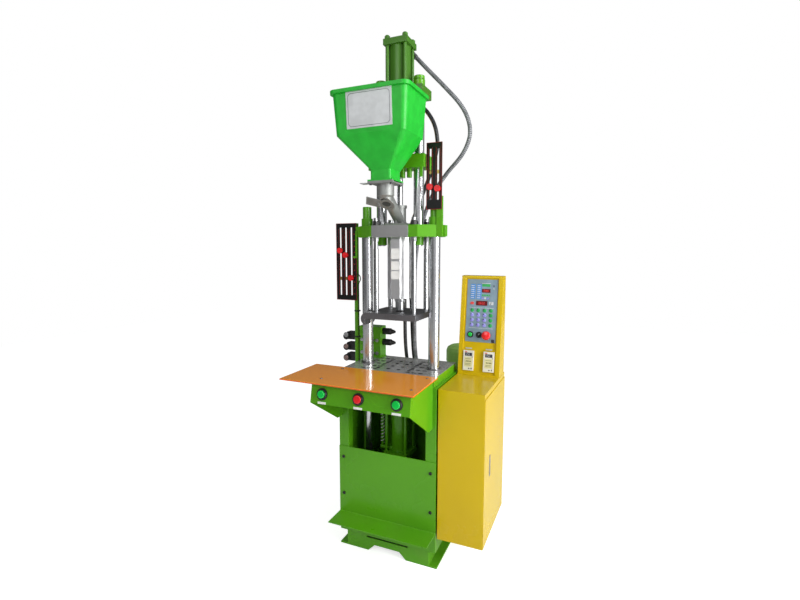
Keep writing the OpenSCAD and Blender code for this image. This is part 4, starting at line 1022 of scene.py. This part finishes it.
# ---- Injection unit ----
# Two hard-chromed rods with painted end caps stand on the top plate and carry the oil
# cylinder, whose rod drives the crosshead and the plunger down. It is sprayed olive green.
finished("injection_rods", chrome)
rod_cap_rings = [(23.2, 0, 0), (23.2, 12, 0), (22.2, 13.6, 0), (15, 13.8, 0), (13, 12, 0)]
rod_top = 2098
make(
    "rod_end_caps", [turned(rod_cap_rings, spot(x, 0, rod_top), sides=36) for x in (-90, 90)],
    green, "head",
)
olive = enamel("olive_enamel", "green_paint", paint(66, 118, 28), paint(54, 102, 20), shine=0.32)
finished("cylinder_plate", olive, edge=0.0016)
finished("injection_cylinder", olive)
finished("ram_crosshead", green, edge=0.0016)
finished("ram_rods", chrome)

# ---- Barrel ----
# The ground steel barrel and its band heaters stand in an eight-sided guard of polished
# sheet with three bare labels; six bolts hold the nozzle's flange under it.
sheet = machined(
    "polished_sheet", "sheet_steel", (0.76, 0.76, 0.77), (0.66, 0.66, 0.68), shine=0.32,
    grain=(30, 30, 500), grow=0.6,
)
finished("barrel", ground, edge=0.0008)
finished("heater_bands", sheet, edge=0.0006)
finished("barrel_guard", sheet, edge=0.0008)
bolt_circle, nozzle_z = 18.5, 1147.5
make(
    "nozzle_bolts",
    [hex_bolt(spot(bolt_circle * math.cos(turn), bolt_circle * math.sin(turn), nozzle_z),
              (0, 0, -1), r=5.8, h=6)
     for turn in np.radians(np.arange(15, 360, 60))],
    zinc, "head",
)
white_film = film("white_film", "white_plastic", paint(226, 226, 224), shine=0.36)
make(
    "guard_blank_labels",
    [upright(0, -52, z, 40, height, 0.5) for z, height in ((1359, 46), (1306, 38), (1264, 36))],
    white_film, "head",
)

# ---- Feed casting and gate ----
# An aluminium casting, screwed down on its pad, leads the pellets to the barrel; it has a
# drain mouth with a swinging lid. A polished steel gate slides above it.
aluminium = Finish("cast_aluminium", "cast_metal", metallic=0.75)
blasted = aluminium.noise(420, 3)
hollows = aluminium.noise(18, 4).ramp(0.3, 0.75)
bright_cast, dull_cast = (0.36, 0.37, 0.36, 1), (0.24, 0.25, 0.24, 1)
aluminium.put(
    base_color=aluminium.mix(hollows * 0.7 + blasted * 0.3, bright_cast, dull_cast),
    roughness=blasted * 0.2 + 0.46,
)
aluminium.bump(blasted, depth=0.0006, strength=0.5)
finished("feed_casting", aluminium, edge=0.0014)
above_foot, under_pads = 1530, 1620
make(
    "feed_casting_screws",
    [socket_screw(touch("feed_casting", spot(x, y, above_foot), (0, 0, -1)), upward, 6.2, 6)
     for x in (-43, 43) for y in (-43, 33)],
    zinc, "head",
)
make(
    "feed_pad_bolts",
    [hex_bolt(touch("feed_casting", spot(x, y, under_pads), upward), (0, 0, -1), 6.2, 6)
     for x in (-46, 46) for y in (-196, -104)],
    black_screw, "head",
)
drain_axis, drain_sides = np.array([0, 0.5736, 0.8192]), 48
casting_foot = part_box("feed_casting")[0].z
drain_mouth = spot(0, -150, 1000 * casting_foot + 61) + 0.0221 * drain_axis
collar_rings = [
    (21.5, 0, 0), (32.5, 0, 0), (33.5, 1.2, 0), (33.5, 4.8, 0), (32, 6, 0),
    (21.5, 6, 0),
]
collar_points = turned(collar_rings, drain_mouth, drain_axis, drain_sides)[0]
make("drain_collar", [hoop(collar_points.reshape(-1, drain_sides, 3))], aluminium, "head")
# A dark dished disc just inside the drain collar is painted shade, for the shadowed bore of the
# mouth.
mouth_painted_shade = film("drain_mouth_dark", "cast_metal", paint(56, 58, 55), shine=0.6)
shade_rings = [(21.3, 0, 0), (21.3, 1.4, 0), (15, 0.8, 0), (4, 0.5, 0)]
make(
    "drain_mouth_shade", [turned(shade_rings, drain_mouth, drain_axis, drain_sides)],
    mouth_painted_shade, "head",
)
finished("drain_lid", aluminium, edge=0.0008)
finished("hopper_gate", sheet, edge=0.0004)

# ---- Hopper ----
# The pellet hopper is moulded in bright green plastic. A grey plate with nothing but a
# thin ruled border is stuck on its front.
hopper_green = moulding(
    "hopper_moulding", "hopper_green", paint(14, 168, 36), shine=0.4, depth=0.0002
)
finished("hopper", hopper_green, edge=0.0036)
low_front = front_of("hopper", -5, 1850)
high_front = front_of("hopper", -5, 1960)
plate_up = (high_front - low_front) / np.linalg.norm(high_front - low_front)
plate_out = np.cross(across, plate_up)
plate_middle = low_front + plate_up * 0.0655
grey_film = film("grey_plate_film", "white_plastic", paint(190, 193, 194), shine=0.3)
make("hopper_plate", [panel(plate_middle, across, plate_up, 196, 138, 1, 2)], grey_film, "head")


def ruled_frame(middle, up, width, height, line, cut):
    """A thin ruled border with its corners cut: four sides and four slanted bars."""
    out, shape = np.cross(across, up), (0.25, 0.2, 0.05)
    bars = []
    for sign in (-1, 1):
        level = middle + sign * up * height / 2000
        side = middle + sign * across * width / 2000
        bars.append(panel(level, across, up, width - 2 * cut, line, *shape))
        bars.append(panel(side, across, up, line, height - 2 * cut, *shape))
        for other in (-1, 1):
            slant = (across * other - up * sign) / math.sqrt(2)
            turn = middle + (across * other * (width - cut) + up * sign * (height - cut)) / 2000
            bars.append(panel(turn, slant, np.cross(out, slant), cut * 1.45, line, *shape))
    return bars


border = ruled_frame(plate_middle + plate_out * 0.001, plate_up, 178, 122, line=1.4, cut=9)
make("hopper_plate_border", border, ink, "head")

# ---- Hose fittings ----
# Two zinc-plated steel elbows screwed into the injection cylinder, one by each end, that
# the hoses are pressed on to.
finished("hose_fittings", zinc, edge=0.0006)

# ---- Studio ----
# A pale floor under a white room; a tall soft box at the right and a wide one in front
# light the machine.


def soft_box(name, size, power, place, aim):
    """A lamp with a flat rectangular face that looks at a point."""
    light = bpy.data.objects.new(name, bpy.data.lights.new(name, "AREA"))
    light.data.shape = "RECTANGLE"
    light.data.size, light.data.size_y = size
    light.data.energy = power
    light.location = place
    light.rotation_euler = (Vector(place) - Vector(aim)).to_track_quat("Z", "Y").to_euler()
    scene.collection.objects.link(light)


soft_box("soft_box_right", (1.4, 3.2), 160, place=(3.3, -0.9, 1.8), aim=(0, 0, 1.1))
soft_box("soft_box_front", (2.4, 1.6), 38, place=(-0.4, -3.8, 3), aim=(0, 0, 1))

floor_half = 7
pale = Finish("pale_floor", roughness=0.9, base_color=(0.8, 0.8, 0.8, 1))
seen = pale.add("LightPath", {}, {}, "Is Camera Ray")
pale.put(emission_color=pale.mix(seen, (0, 0, 0, 1), (1, 1, 1, 1)), emission_strength=0.67)
floor_corners = np.array([[-1, -1, 0], [1, -1, 0], [1, 1, 0], [-1, 1, 0]]) * floor_half
floor_mesh = bpy.data.meshes.new("floor")
floor_mesh.from_pydata(floor_corners.tolist(), [], [(0, 1, 2, 3)])
floor_mesh.materials.append(pale.material)
floor = bpy.data.objects.new("floor", floor_mesh)
scene.collection.objects.link(floor)

world = bpy.data.worlds.new("studio")
scene.world = world
world.use_nodes = True
room = Nodes(world.node_tree)
rightward = room.add(
    "VectorMath", {"operation": "DOT_PRODUCT"},
    {0: room.add("TexCoord", {}, {}, "Generated"), 1: (0.966, -0.259, 0)}, "Value",
)
bright_side = rightward.ramp(0, 0.95, 0.1, 0.62)
in_gloss = room.add("LightPath", {}, {}, "Is Glossy Ray").ramp(0, 1, 0.43, bright_side)
strength = room.add("LightPath", {}, {}, "Is Camera Ray").ramp(0, 1, in_gloss, 1)
background = world.node_tree.nodes["Background"]
room.feed(background.inputs["Color"], (1, 1, 1, 1))
room.feed(background.inputs["Strength"], strength)
scene.view_settings.view_transform = "Standard"
